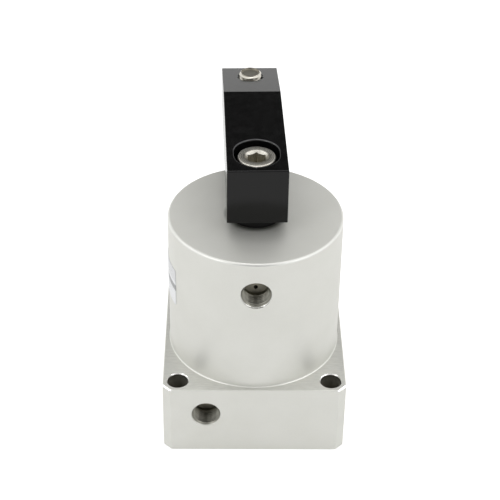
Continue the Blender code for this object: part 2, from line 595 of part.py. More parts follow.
def groove_cutter():
    """The two helical grooves of the guide shaft as one twisted bar, open at the shaft's top."""
    outer = SHAFT_RADIUS + CUT_OVER
    top = SHAFT_TOP + CUT_OVER
    bm = bmesh.new()
    for side in (0, math.pi):
        section = [(GROOVE_FLOOR_RADIUS, -GROOVE_HALF_WIDTH), (outer, -GROOVE_HALF_WIDTH),
                   (outer, GROOVE_HALF_WIDTH), (GROOVE_FLOOR_RADIUS, GROOVE_HALF_WIDTH)]
        layers = []
        for k in range(GROOVE_STEPS + 1):
            height = GROOVE_BOTTOM + (top - GROOVE_BOTTOM) * k / GROOVE_STEPS
            turn = side + (height - GUIDE_PIN_Z) * GROOVE_RATE
            layer = []
            for x, y in section:
                layer.append(bm.verts.new((x * math.cos(turn) - y * math.sin(turn),
                                           x * math.sin(turn) + y * math.cos(turn), height)))
            layers.append(layer)
        bm.faces.new(layers[0])
        bm.faces.new(layers[-1])
        for low, high in zip(layers, layers[1:]):
            for k in range(4):
                bm.faces.new((low[k], low[(k + 1) % 4], high[(k + 1) % 4], high[k]))
    return mesh_object("helical_grooves", bm, None)


def guide_shaft(material):
    """The guide shaft on the cover: spigot, flange and a stem with two helical grooves."""
    bottom = COVER_FLOOR + SEAT_GAP
    outline = [(0, bottom), (SHAFT_SPIGOT_RADIUS, bottom), (SHAFT_SPIGOT_RADIUS, SHAFT_FLANGE_BOTTOM),
               (SHAFT_FLANGE_RADIUS, SHAFT_FLANGE_BOTTOM), (SHAFT_FLANGE_RADIUS, SHAFT_FLANGE_TOP),
               (SHAFT_RADIUS, SHAFT_FLANGE_TOP), (SHAFT_RADIUS, SHAFT_TOP - SHAFT_EDGE),
               (SHAFT_RADIUS - SHAFT_EDGE, SHAFT_TOP), (0, SHAFT_TOP)]
    shaft = turned("guide_shaft", outline, material, PART_SIDES)
    combine(shaft, groove_cutter(), "DIFFERENCE")
    drill(shaft, "shaft_cross_hole", (-SHAFT_FLANGE_RADIUS, 0, SHAFT_PIN_Z), (1, 0, 0),
          SHAFT_PIN_RADIUS + BORE_GAP, 2 * SHAFT_FLANGE_RADIUS, PIN_SIDES)
    return shaft


def straight_pin(name, place, direction, radius, length, material):
    """A dowel with slightly broken edges."""
    outline = [(0, 0), (radius - PIN_EDGE, 0), (radius, PIN_EDGE), (radius, length - PIN_EDGE),
               (radius - PIN_EDGE, length), (0, length)]
    pin = turned(name, outline, material, PIN_SIDES)
    aim(pin, place, direction)
    return pin


def piston(material):
    """The piston, with grooves for its seal and wear ring, and a recess for its nut."""
    seal_low = PISTON_SEAL_Z - PISTON_SEAL_WIDTH / 2
    seal_high = PISTON_SEAL_Z + PISTON_SEAL_WIDTH / 2
    wear_low = WEAR_RING_Z - WEAR_RING_WIDTH / 2
    wear_high = WEAR_RING_Z + WEAR_RING_WIDTH / 2
    seal_floor = PISTON_RADIUS - PISTON_SEAL_DEPTH
    wear_floor = PISTON_RADIUS - WEAR_RING_DEPTH
    land_low = PISTON_BOTTOM + PISTON_LOWER_LAND
    land_high = PISTON_TOP - PISTON_UPPER_LAND
    bore = ROD_TAIL_RADIUS + BORE_GAP
    rod_seat = ROD_RADIUS + BORE_GAP
    cord_floor = bore + PISTON_O_RING_CORD
    cord_half = PISTON_O_RING_CORD / 2 + BORE_GAP
    recess = PISTON_NUT_RADIUS + PISTON_RECESS_GAP
    outline = [
        (recess, PISTON_BOTTOM), (PISTON_LAND_RADIUS, PISTON_BOTTOM), (PISTON_LAND_RADIUS, land_low),
        (PISTON_RADIUS, land_low), (PISTON_RADIUS, wear_low), (wear_floor, wear_low),
        (wear_floor, wear_high), (PISTON_RADIUS, wear_high), (PISTON_RADIUS, seal_low),
        (seal_floor, seal_low), (seal_floor, seal_high), (PISTON_RADIUS, seal_high),
        (PISTON_RADIUS, land_high), (PISTON_LAND_RADIUS, land_high), (PISTON_LAND_RADIUS, PISTON_TOP),
        (rod_seat, PISTON_TOP), (rod_seat, PISTON_TOP - PISTON_ROD_SEAT), (bore, PISTON_TOP - PISTON_ROD_SEAT),
        (bore, PISTON_O_RING_Z + cord_half), (cord_floor, PISTON_O_RING_Z + cord_half),
        (cord_floor, PISTON_O_RING_Z - cord_half), (bore, PISTON_O_RING_Z - cord_half),
        (bore, PISTON_RECESS_TOP), (recess, PISTON_RECESS_TOP),
    ]
    return turned("piston", outline, material, BORE_SIDES)


def piston_rings():
    """The lip seal and the split wear ring of the piston, and the O-ring between piston and rod."""
    seal_inner = PISTON_RADIUS - PISTON_SEAL_DEPTH + BORE_GAP
    seal_outer = BORE_RADIUS - RING_WALL_GAP
    half = PISTON_SEAL_WIDTH / 2 - BORE_GAP
    waist = seal_outer - PISTON_SEAL_WAIST
    outline = [(seal_inner, PISTON_SEAL_Z - half), (seal_outer, PISTON_SEAL_Z - half),
               (waist, PISTON_SEAL_Z), (seal_outer, PISTON_SEAL_Z + half),
               (seal_inner, PISTON_SEAL_Z + half)]
    turned("piston_seal", outline, RUBBER, BORE_SIDES)

    wear_inner = PISTON_RADIUS - WEAR_RING_DEPTH + BORE_GAP
    half = WEAR_RING_WIDTH / 2 - BORE_GAP
    wear = turned("piston_wear_ring", band(wear_inner, seal_outer, WEAR_RING_Z - half, WEAR_RING_Z + half),
                  ACETAL, BORE_SIDES)
    reach = BORE_RADIUS + CUT_OVER
    slit = WEAR_RING_SLIT / 2
    notch = prism("wear_ring_slit", [(-slit, 0), (slit, 0), (slit, reach), (-slit, reach)],
                  WEAR_RING_Z - WEAR_RING_WIDTH, WEAR_RING_Z + WEAR_RING_WIDTH)
    combine(wear, notch, "DIFFERENCE")

    cord_ring("piston_o_ring", ROD_TAIL_RADIUS + (BORE_GAP + PISTON_O_RING_CORD) / 2,
              PISTON_O_RING_Z, PISTON_O_RING_CORD, RUBBER)


def piston_nut(material):
    """The slotted ring nut that holds the piston on the rod."""
    outline = band(ROD_TAIL_RADIUS + BORE_GAP, PISTON_NUT_RADIUS, ROD_BOTTOM, PISTON_NUT_TOP, RING_EDGE)
    nut = turned("piston_nut", outline, material)
    reach = PISTON_NUT_RADIUS + CUT_OVER
    inner = PISTON_NUT_RADIUS - PISTON_NUT_SLOT_DEPTH
    half = PISTON_NUT_SLOT / 2
    for k in range(4):
        slot = prism("nut_slot", [(inner, -half), (reach, -half), (reach, half), (inner, half)],
                     ROD_BOTTOM - CUT_OVER, PISTON_NUT_TOP + CUT_OVER)
        slot.rotation_euler.z = math.pi / 4 + k * math.pi / 2
        combine(nut, slot, "DIFFERENCE")
    return nut


def piston_rod(material):
    """The hollow rod: tail for the piston, stem, and a spigot with two flats for the arm."""
    outline = [(ROD_BORE_RADIUS, ROD_BOTTOM), (ROD_TAIL_RADIUS, ROD_BOTTOM), (ROD_TAIL_RADIUS, ROD_SHOULDER),
               (ROD_RADIUS, ROD_SHOULDER), (ROD_RADIUS, ROD_TOP - ROD_EDGE), (ROD_RADIUS - ROD_EDGE, ROD_TOP),
               (0, ROD_TOP), (0, ROD_BORE_TOP), (ROD_BORE_RADIUS, ROD_BORE_TOP - ROD_BORE_CONE)]
    rod = turned("piston_rod", outline, material, PART_SIDES)
    spigot = prism("spigot_shape", flatted_round(ROD_SPIGOT_RADIUS, ROD_SPIGOT_HALF_FLAT),
                   ROD_TOP - ROD_SPIGOT_ROOT, ROD_SPIGOT_TOP)
    combine(rod, spigot, "UNION")
    drill(rod, "rod_tap", (0, 0, ROD_SPIGOT_TOP + CUT_OVER), (0, 0, -1), TAP_RADIUS, ROD_TAP_DEPTH + CUT_OVER)
    drill(rod, "guide_pin_hole", (-ROD_RADIUS, 0, GUIDE_PIN_Z), (1, 0, 0),
          GUIDE_PIN_RADIUS + BORE_GAP, 2 * ROD_RADIUS, PIN_SIDES)
    return rod


def guide_pins(material):
    """The two pins in the rod's tail that reach into the guide shaft's grooves."""
    inner = GROOVE_FLOOR_RADIUS + SEAT_GAP
    length = ROD_TAIL_RADIUS - inner
    straight_pin("guide_pin_a", (inner, 0, GUIDE_PIN_Z), (1, 0, 0), GUIDE_PIN_RADIUS, length, material)
    straight_pin("guide_pin_b", (-inner, 0, GUIDE_PIN_Z), (-1, 0, 0), GUIDE_PIN_RADIUS, length, material)


def rod_gland():
    """The bushing, lip seal and scraper round the rod, and the two bumpers."""
    turned("rod_bushing", band(RUNNING_RADIUS, BUSHING_OUTER_RADIUS, CHAMBER_TOP + SEAT_GAP / 2,
                               BUSHING_SEAT_TOP - SEAT_GAP / 2, RING_EDGE), BRONZE)

    middle = (RUNNING_RADIUS + ROD_SEAL_RADIUS) / 2
    web = ROD_SEAL_TOP - ROD_SEAL_WEB
    outline = [(RUNNING_RADIUS, ROD_SEAL_BOTTOM), (middle - ROD_SEAL_NOTCH_MOUTH, ROD_SEAL_BOTTOM),
               (middle - ROD_SEAL_NOTCH_FLOOR, web), (middle + ROD_SEAL_NOTCH_FLOOR, web),
               (middle + ROD_SEAL_NOTCH_MOUTH, ROD_SEAL_BOTTOM), (ROD_SEAL_RADIUS, ROD_SEAL_BOTTOM),
               (ROD_SEAL_RADIUS, ROD_SEAL_TOP), (RUNNING_RADIUS, ROD_SEAL_TOP)]
    turned("rod_seal", outline, RUBBER)

    outline = [(RUNNING_RADIUS, SCRAPER_BOTTOM), (SCRAPER_FLANGE_RADIUS, SCRAPER_BOTTOM),
               (SCRAPER_FLANGE_RADIUS, SCRAPER_SHOULDER), (SCRAPER_LIP_RADIUS, SCRAPER_SHOULDER),
               (SCRAPER_LIP_RADIUS, SCRAPER_TOP - SCRAPER_EDGE),
               (SCRAPER_LIP_RADIUS - SCRAPER_EDGE, SCRAPER_TOP), (RUNNING_RADIUS, SCRAPER_TOP)]
    turned("rod_scraper", outline, RUBBER)

    turned("lower_bumper", band(LOWER_BUMPER_RADIUS, PISTON_LAND_RADIUS, COVER_TOP + SEAT_GAP,
                                LOWER_BUMPER_TOP, RING_EDGE), URETHANE)
    turned("upper_bumper", band(RUNNING_RADIUS + RUN_GAP, PISTON_LAND_RADIUS, UPPER_BUMPER_BOTTOM,
                                CHAMBER_TOP - SEAT_GAP, RING_EDGE), URETHANE)


def clamp_arm(material):
    """The clamp arm: a square bar with a sloped tip, bored for its screw, the rod and the clamp bolt."""
    half = ARM_WIDTH / 2
    side = [(-ARM_BACK, ARM_BOTTOM), (ARM_REACH, ARM_BOTTOM), (ARM_REACH, ARM_TOP - ARM_TIP_DROP),
            (ARM_FLAT, ARM_TOP), (-ARM_BACK, ARM_TOP)]
    bm = bmesh.new()
    left = [bm.verts.new((-half, y, z)) for y, z in side]
    right = [bm.verts.new((half, y, z)) for y, z in side]
    bm.faces.new(left)
    bm.faces.new(right)
    for k in range(len(side)):
        after = (k + 1) % len(side)
        bm.faces.new((left[k], left[after], right[after], right[k]))
    bend = {left[3], right[3]}
    edges = [edge for edge in bm.edges if set(edge.verts) != bend]
    bmesh.ops.bevel(bm, geom=edges, offset=ARM_EDGE, segments=1, affect="EDGES")
    arm = mesh_object("clamp_arm", bm, material)

    seat = SCREW_SEAT - SEAT_GAP
    wide = SCREW_COUNTERBORE_RADIUS + COUNTERBORE_CHAMFER + CUT_OVER
    counterbore = turned("counterbore", [
        (0, seat), (SCREW_COUNTERBORE_RADIUS, seat), (SCREW_COUNTERBORE_RADIUS, ARM_TOP - COUNTERBORE_CHAMFER),
        (wide, ARM_TOP + CUT_OVER), (0, ARM_TOP + CUT_OVER)])
    combine(arm, drawn_out(counterbore, COUNTERBORE_STRETCH), "DIFFERENCE")
    drill(arm, "screw_hole", (0, 0, ARM_BOTTOM + CUT_OVER), (0, 0, 1), SCREW_HOLE_RADIUS, seat - ARM_BOTTOM)
    outline = flatted_round(ROD_SPIGOT_RADIUS + BORE_GAP, ROD_SPIGOT_HALF_FLAT + BORE_GAP)
    pocket = prism("spigot_pocket", outline, ARM_BOTTOM - CUT_OVER, ROD_SPIGOT_TOP + SEAT_GAP)
    combine(arm, pocket, "DIFFERENCE")

    above = BOLT_SURFACE + TIP_CUT_OVER
    bolt_hole = turned("bolt_tap", [
        (0, ARM_BOTTOM - CUT_OVER), (BOLT_TAP_RADIUS, ARM_BOTTOM - CUT_OVER),
        (BOLT_TAP_RADIUS, BOLT_SURFACE - TIP_HOLE_CHAMFER),
        (BOLT_TAP_RADIUS + TIP_HOLE_CHAMFER + TIP_CUT_OVER, above), (0, above)], sides=HOLE_SIDES)
    bolt_hole.location = (0, BOLT_Y, 0)
    combine(arm, bolt_hole, "DIFFERENCE")
    arm.rotation_euler.z = ARM_TURN
    return arm


def arm_screw(material):
    """The socket head cap screw that clamps the arm on the rod."""
    head_top = SCREW_SEAT + SCREW_HEAD_HEIGHT
    outline = [(0, SCREW_TIP), (SCREW_RADIUS - SCREW_EDGE, SCREW_TIP), (SCREW_RADIUS, SCREW_TIP + SCREW_EDGE),
               (SCREW_RADIUS, SCREW_SEAT), (SCREW_HEAD_RADIUS, SCREW_SEAT),
               (SCREW_HEAD_RADIUS, head_top - SCREW_EDGE),
               (SCREW_HEAD_RADIUS - SCREW_EDGE, head_top), (0, head_top)]
    screw = turned("arm_screw", outline, material, PART_SIDES)
    socket = prism("hex_socket", hexagon(SCREW_SOCKET_HALF_FLAT), head_top - SCREW_SOCKET_DEPTH,
                   head_top + CUT_OVER)
    combine(screw, socket, "DIFFERENCE")
    screw.rotation_euler.z = ARM_TURN
    return screw


def hex_blank(name, bottom, top, material, turned_top=True):
    """A hexagon prism whose corners are turned off at its bottom, and at its top unless told otherwise."""
    blank = prism(name, hexagon(HEX_HALF_FLAT), bottom, top, material)
    corner = HEX_HALF_FLAT / math.cos(math.pi / 6) + CUT_OVER
    face = HEX_HALF_FLAT * HEX_FACE_SHARE
    drop = (corner - face) * math.tan(HEX_TURNING_ANGLE)
    outline = [(0, bottom), (face, bottom), (corner, bottom + drop)]
    if turned_top:
        outline += [(corner, top - drop), (face, top), (0, top)]
    else:
        outline += [(corner, top + CUT_OVER), (0, top + CUT_OVER)]
    combine(blank, turned(name + "_turning", outline, sides=PART_SIDES), "INTERSECT")
    return blank


def clamp_bolt(material):
    """The hexagon bolt that presses on the work, threaded up through the arm's tip."""
    bolt = hex_blank("clamp_bolt", -BOLT_HEAD_HEIGHT, 0, material, turned_top=False)
    outline = [(0, -CUT_OVER), (BOLT_RADIUS, -CUT_OVER), (BOLT_RADIUS, BOLT_LENGTH - BOLT_END_CHAMFER),
               (BOLT_RADIUS - BOLT_END_CHAMFER, BOLT_LENGTH), (0, BOLT_LENGTH)]
    shank = turned("bolt_shank", outline, sides=HOLE_SIDES)
    combine(bolt, shank, "UNION")
    bolt.location = Matrix.Rotation(ARM_TURN, 3, "Z") @ Vector((0, BOLT_Y, BOLT_HEAD_TOP))
    bolt.rotation_euler.z = ARM_TURN
    return bolt


def lock_nut(material):
    """The nut that locks the clamp bolt against the arm's underside."""
    nut = hex_blank("clamp_lock_nut", -LOCK_NUT_HEIGHT, 0, material)
    drill(nut, "nut_tap", (0, 0, -LOCK_NUT_HEIGHT - CUT_OVER), (0, 0, 1), BOLT_TAP_RADIUS,
          LOCK_NUT_HEIGHT + 2 * CUT_OVER)
    nut.location = Matrix.Rotation(ARM_TURN, 3, "Z") @ Vector((0, BOLT_Y, ARM_BOTTOM - SEAT_GAP))
    nut.rotation_euler.z = ARM_TURN
    return nut


def type_label(material):
    """The blank type label: a thin sheet wrapped round the barrel's left side."""
    inner = BARREL_RADIUS + LABEL_GAP
    outer = inner + LABEL_THICKNESS
    rear = LABEL_FRONT_ANGLE - LABEL_LENGTH / BARREL_RADIUS
    outline = arc_points(outer, rear, LABEL_FRONT_ANGLE, LABEL_STEPS)
    outline += arc_points(inner, LABEL_FRONT_ANGLE, rear, LABEL_STEPS)
    return prism("type_label", outline, LABEL_TOP - LABEL_HEIGHT, LABEL_TOP, material)


clear_scene()
ANODISED = finish("anodised_aluminium", (0.63, 0.63, 0.60), 0.38, 0.85)
ALUMINIUM = finish("machined_aluminium", (0.66, 0.66, 0.66), 0.32, 1.0)
BLACK_OXIDE = finish("black_oxide_steel", (0.012, 0.012, 0.013), 0.28, 0.6)
STEEL = finish("hardened_steel", (0.42, 0.42, 0.43), 0.30, 1.0)
STAINLESS = finish("stainless_steel", (0.60, 0.58, 0.53), 0.24, 1.0)
CHROME = finish("chromed_rod", (0.62, 0.63, 0.65), 0.12, 1.0)
SPRING_STEEL = finish("phosphated_spring_steel", (0.06, 0.06, 0.065), 0.45, 0.7)
RUBBER = finish("nitrile_rubber", (0.015, 0.015, 0.015), 0.6, 0.0)
ACETAL = finish("wear_ring_plastic", (0.75, 0.73, 0.66), 0.45, 0.0)
URETHANE = finish("bumper_urethane", (0.70, 0.45, 0.16), 0.5, 0.0)
BRONZE = finish("bushing_bronze", (0.50, 0.33, 0.16), 0.4, 1.0)
LABEL_FILM = finish("label_film", (0.86, 0.87, 0.88), 0.35, 0.0)

body = housing_body(ANODISED)
housing_bore(body)
housing_holes(body)
bottom_cover(ALUMINIUM)
snap_ring(SPRING_STEEL)
straight_pin("cover_dowel", (0, DOWEL_OFFSET, DOWEL_BOTTOM), (0, 0, 1), DOWEL_RADIUS, DOWEL_LENGTH, STEEL)
guide_shaft(STEEL)
straight_pin("shaft_cross_pin", (-SHAFT_PIN_LENGTH / 2, 0, SHAFT_PIN_Z), (1, 0, 0), SHAFT_PIN_RADIUS,
             SHAFT_PIN_LENGTH, STEEL)
rod_gland()
piston(ALUMINIUM)
piston_rings()
piston_nut(STEEL)
piston_rod(CHROME)
guide_pins(STEEL)
clamp_arm(BLACK_OXIDE)
arm_screw(STAINLESS)
clamp_bolt(STAINLESS)
lock_nut(STAINLESS)
type_label(LABEL_FILM)
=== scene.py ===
# %% [markdown]
# # A swing clamp cylinder in its studio
#
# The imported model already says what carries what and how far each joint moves. This script dresses it: it
# makes the fine surfaces that a camera sees, such as rounded edges, screw threads and turned faces, gives
# every piece its finish, and sets up the light and the camera. Each new surface is worked out with numpy
# as a function on a grid, because then one formula holds the whole shape and every size in it has a name.

# %% Load the fixed frame
import math

import bpy
import numpy as np
from mathutils import Matrix, Vector


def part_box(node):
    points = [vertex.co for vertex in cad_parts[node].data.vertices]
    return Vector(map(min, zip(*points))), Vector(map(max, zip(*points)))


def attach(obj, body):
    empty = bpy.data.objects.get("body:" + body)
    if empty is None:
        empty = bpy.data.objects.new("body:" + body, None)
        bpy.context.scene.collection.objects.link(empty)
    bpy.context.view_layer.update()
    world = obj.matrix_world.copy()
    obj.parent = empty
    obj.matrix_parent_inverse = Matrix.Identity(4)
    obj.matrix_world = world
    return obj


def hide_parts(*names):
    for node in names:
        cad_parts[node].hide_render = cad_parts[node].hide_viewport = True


MM = 0.001
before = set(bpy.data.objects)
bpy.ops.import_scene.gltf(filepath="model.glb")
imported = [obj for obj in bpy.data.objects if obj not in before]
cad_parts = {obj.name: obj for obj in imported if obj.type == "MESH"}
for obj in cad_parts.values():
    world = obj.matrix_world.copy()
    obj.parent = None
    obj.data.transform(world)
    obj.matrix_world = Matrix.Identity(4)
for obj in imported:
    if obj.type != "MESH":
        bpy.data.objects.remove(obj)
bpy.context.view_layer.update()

# %% [markdown]
# ## Surfaces from grids
#
# Almost every part of a clamp is turned on a lathe or milled from a bar, so almost every surface is a
# stack of closed rings: a circle, a hexagon or a rounded square that changes size as it travels along an
# outline. One function turns such a stack into a mesh. Blender's Spin tool could do the turned parts, but
# not a hexagon or a thread.

# %% A stack of rings as a mesh


def stack_faces(rows, columns, loop):
    """Quads between neighbouring rings: corner (i, j) has the number i * columns + j, and j wraps round."""
    low = np.arange(rows if loop else rows - 1)[:, None]
    high = (low + 1) % rows
    left = np.arange(columns)[None, :]
    right = (left + 1) % columns
    quads = np.stack([low * columns + left, low * columns + right, high * columns + right,
                      high * columns + left], axis=-1)
    return quads.reshape(-1, 4)


def signed_volume(points, quads):
    """Volume inside the quads: a sixth of the sum of a . (b x c) over the two triangles of each quad."""
    a, b, c, d = (points[quads[:, k]] for k in range(4))
    return np.einsum("ij,ij->", a, np.cross(b, c) + np.cross(c, d)) / 6


def in_scene(name, data):
    """An object that shows a mesh, a camera or a lamp."""
    item = bpy.data.objects.new(name, data)
    bpy.context.scene.collection.objects.link(item)
    return item


def ring_stack(name, rings, loop=False):
    """A closed piece from rings[i, j] = point j of ring i.

    Two flat caps close it, or a loop of rings closes itself. If the volume comes out negative, the faces
    look inwards and are turned round. A cap counts there as a fan of quads that repeat a corner.
    """
    rows, columns = rings.shape[:2]
    points = rings.reshape(-1, 3)
    quads = stack_faces(rows, columns, loop)
    first = np.arange(columns)
    caps = [] if loop else [first[::-1], first + (rows - 1) * columns]
    fans = [np.stack(np.broadcast_arrays(cap[0], cap[1:-1], cap[2:], cap[2:]), axis=-1) for cap in caps]
    faces = quads.tolist() + [cap.tolist() for cap in caps]
    if signed_volume(points, np.concatenate([quads, *fans])) < 0:
        faces = [face[::-1] for face in faces]
    mesh = bpy.data.meshes.new(name)
    mesh.from_pydata(points.tolist(), [], faces)
    return in_scene(name, mesh)


# %% [markdown]
# ## Outlines with round corners
#
# No real edge is sharp: a tool leaves a small radius, and that radius is what catches the light. So an
# outline is written with its few true corners, and each corner gets its own radius. A Bevel modifier
# could round the edges afterwards, but on a turned part the outline is the natural place to do it.

# %% Round the corners of an outline
TINY = 0.02 * MM  # radius of the ring that closes a turned part on its axis
SHARP = 0.001 * MM  # radius of a corner that stays sharp
BEYOND, OVER = 2 * MM, 1 * MM  # how far a large and a small cutter reach past the surface


def mm(*lengths):
    """Lengths written in millimetres, as metres."""
    return [length * MM for length in lengths]


def rounded(corners, radii, steps=4):
    """Replaces each corner by a circular arc of its radius.

    With unit directions a and b from the corner to its neighbours, and phi the angle between them, the arc
    touches both sides at r / tan(phi / 2), and its centre lies along a + b at r / sin(phi / 2).
    """
    points = np.asarray(corners, float)
    radius = np.broadcast_to(np.asarray(radii, float), len(points))[:, None]
    to_last = np.roll(points, 1, axis=0) - points
    to_next = np.roll(points, -1, axis=0) - points
    a = to_last / np.linalg.norm(to_last, axis=1, keepdims=True)
    b = to_next / np.linalg.norm(to_next, axis=1, keepdims=True)
    phi = np.arccos(np.clip((a * b).sum(axis=1, keepdims=True), -1, 1))
    touch = radius / np.tan(phi / 2)
    bisector = a + b
    bisector /= np.linalg.norm(bisector, axis=1, keepdims=True)
    centre = points + bisector * radius / np.sin(phi / 2)
    start = points + a * touch - centre
    end = points + b * touch - centre
    sweep = (math.pi - phi)[:, None]
    t = np.linspace(0, 1, steps + 1)[None, :, None]
    arcs = (np.sin((1 - t) * sweep) * start[:, None] + np.sin(t * sweep) * end[:, None]) / np.sin(sweep)
    arcs = (centre[:, None] + arcs).reshape(-1, 2)
    apart = np.linalg.norm(arcs - np.roll(arcs, 1, axis=0), axis=1) > 1e-7
    return arcs[apart]


def angles(sides):
    """Equal steps round a full circle."""
    return 2 * math.pi * np.arange(sides) / sides


def radial_rings(radius, height, sides):
    """Rings round Z: point j of ring i has the radius radius[i, j] and the height height[i]."""
    t = angles(sides)
    height = np.repeat(np.asarray(height, float)[:, None], sides, axis=1)
    return np.stack([radius * np.cos(t), radius * np.sin(t), height], axis=-1)


def turned_rings(outline, sides):
    """Rings of a turned part: outline point (r, z) becomes the circle (r cos t, r sin t, z)."""
    radius, height = np.asarray(outline, float).T
    return radial_rings(radius[:, None], height, sides)


def turned_to(rings, direction):
    """The same rings, turned so that their axis Z points along a direction."""
    turn = Vector((0, 0, 1)).rotation_difference(Vector(direction)).to_matrix()
    return rings @ np.array(turn).T


# %% [markdown]
# ## Cutting one shape with another
#
# A drill, a tap or a boring bar takes its own shape out of the metal, and so does the Boolean modifier:
# the holes are cutters made as ring stacks. The result is applied at once, so that a finished piece is a
# plain mesh, and Weighted Normal keeps big flat faces flat next to a small round edge. A finish may need
# to know where it is, such as inside a hole, and a value kept at each vertex or face tells it.

# %% Cut, mark and finish a piece


def combine(piece, name, rings, operation="DIFFERENCE"):
    """Makes a tool from a ring stack, applies one exact Boolean and removes the tool."""
    tool = ring_stack(name, rings)
    modifier = piece.modifiers.new("combine", "BOOLEAN")
    modifier.operation = operation
    modifier.solver = "EXACT"
    modifier.object = tool
    graph = bpy.context.evaluated_depsgraph_get()
    result = bpy.data.meshes.new_from_object(piece.evaluated_get(graph))
    piece.modifiers.clear()
    old = piece.data
    piece.data = result
    result.name = piece.name
    bpy.data.meshes.remove(old)
    bpy.data.objects.remove(tool, do_unlink=True)
    print(piece.name, "after", operation.lower(), "with", name, "has", len(result.polygons), "faces")


def cut(piece, **tools):
    """Takes the shape of each named ring stack out of the piece."""
    for name, rings in tools.items():
        combine(piece, name, rings)


def components(items, name):
    """Three rows, x, y and z, of every vertex's co or every face's normal or center."""
    values = np.empty(len(items) * 3)
    items.foreach_get(name, values)
    return values.reshape(-1, 3).T


def keep(piece, name, domain, values):
    """Keeps a value at each vertex (POINT) or on each face (FACE), where a finish can read it."""
    piece.data.attributes.new(name, "FLOAT", domain).data.foreach_set("value", values)
    print(piece.name, "keeps", name, "above 0 at", int(np.count_nonzero(values)), "of", len(values))


def smooth(piece, sharp_degrees=32):
    """Smooth shading, with edges kept where two faces meet at more than an angle."""
    mesh = piece.data
    mesh.shade_smooth()
    mesh.set_sharp_from_angle(angle=math.radians(sharp_degrees))
    modifier = piece.modifiers.new("flat faces stay flat", "WEIGHTED_NORMAL")
    modifier.mode = "FACE_AREA"
    modifier.weight = 80
    modifier.keep_sharp = True


def place(piece, body, node):
    """Hangs the piece on the body that carries it, hides the CAD node it stands for and prints its size."""
    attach(piece, body)
    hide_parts(node)
    size = [round(d / MM, 1) for d in piece.dimensions]
    print(piece.name, "rides on", body, "size in mm", size, "faces", len(piece.data.polygons))


# %% [markdown]
# ## The camera
#
# The photograph looks down on the clamp at about 35 degrees with a lens of about 100 mm, from slightly
# left of the middle, and the camera was tilted by a degree. The numbers come from a least-squares fit of
# a pinhole camera to the edges of the foot and the barrel.

# %% Place the camera
CAMERA_PLACE = Vector((-9.26, -403.55, 351.15)) * MM
CAMERA_PAN = math.radians(-1.067)
CAMERA_DIP = math.radians(35.417)
CAMERA_ROLL = math.radians(0.916)
FOCAL_PIXELS = 1429.6
PICTURE_PIXELS = 500
SENSOR_WIDTH = 36

camera_data = bpy.data.cameras.new("camera")
camera_data.sensor_width = SENSOR_WIDTH
camera_data.lens = FOCAL_PIXELS / PICTURE_PIXELS * SENSOR_WIDTH
camera_data.clip_start = 0.01
camera_data.clip_end = 20
camera = in_scene("camera", camera_data)
bpy.context.scene.camera = camera
camera.matrix_world = (Matrix.Translation(CAMERA_PLACE) @ Matrix.Rotation(CAMERA_PAN, 4, "Z")
                       @ Matrix.Rotation(math.pi / 2 - CAMERA_DIP, 4, "X")
                       @ Matrix.Rotation(CAMERA_ROLL, 4, "Z"))
print("lens", round(camera_data.lens, 1), "mm, camera height", round(CAMERA_PLACE.z, 3), "m")

# %% [markdown]
# ## The housing
#
# The foot is a milled block and the barrel a turned cylinder, in one piece. The foot is a stack of
# eight-sided outlines with small rounds, which grow from the broken bottom edge and shrink again at the
# top edge, where the corner faces are cut back a little further. The barrel is a turned outline, joined
# by a Boolean union. The bore, the ports and the bolt holes are then cut, as they are on the machine.

# %% Sizes of the housing
housing_low, housing_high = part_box("housing")
FOOT_HALF = housing_high.x
HOUSING_TOP = housing_high.z
FOOT_HEIGHT, FOOT_CORNER, FOOT_EDGE = mm(27.5, 2.7, 0.35)
CORNER_BEVEL, CORNER_ROUND = mm(0.5, 0.45)
BARREL_RADIUS = 30 * MM
BARREL_TOP_ROUND, BARREL_FOOT_ROUND = mm(0.9, 0.3)
BARREL_SIDES = 224
print("foot", round(2 * FOOT_HALF / MM, 2), "mm wide, housing", round(HOUSING_TOP / MM, 2), "mm high")

# %% The foot as a stack of rounded octagons


def octagon(inset, cut_back):
    """The foot's outline, its sides moved in by an inset and its corner faces cut back by a depth."""
    half = FOOT_HALF - inset
    corner = FOOT_CORNER - 2 * inset + math.sqrt(2) * cut_back
    near = half - corner
    points = [(-near, -half), (near, -half), (half, -near), (half, near),
              (near, half), (-near, half), (-half, near), (-half, -near)]
    return rounded(points, CORNER_ROUND)


def edge_round(size, steps=4):
    """Quarter circle as (inset, rise) pairs, from (size, 0) to (0, size)."""
    t = np.linspace(0, math.pi / 2, steps + 1)
    return np.stack([size * (1 - np.sin(t)), size * (1 - np.cos(t))], axis=-1)


low_edge = edge_round(FOOT_EDGE)
high_edge = np.concatenate([[(0, CORNER_BEVEL)], low_edge[::-1]]) * (1, -1) + (0, FOOT_HEIGHT)
foot_rings = []
for inset, rise in np.concatenate([low_edge, high_edge]):
    cut_back = inset if rise < CORNER_BEVEL else max(rise - FOOT_HEIGHT + CORNER_BEVEL, 0)
    foot_rings.append(np.insert(octagon(inset, cut_back), 2, rise, axis=1))
housing = ring_stack("housing_block", np.stack(foot_rings))
print("foot:", len(foot_rings), "rings")

# %% The barrel as a turned outline
sunk = 1 * MM
barrel_outline = rounded(
    [(TINY, FOOT_HEIGHT - sunk), (BARREL_RADIUS + BARREL_FOOT_ROUND + sunk, FOOT_HEIGHT - sunk),
     (BARREL_RADIUS, FOOT_HEIGHT + BARREL_FOOT_ROUND), (BARREL_RADIUS, HOUSING_TOP), (TINY, HOUSING_TOP)],
    [SHARP, SHARP, BARREL_FOOT_ROUND, BARREL_TOP_ROUND, SHARP], 6)
combine(housing, "barrel", turned_rings(barrel_outline, BARREL_SIDES), "UNION")

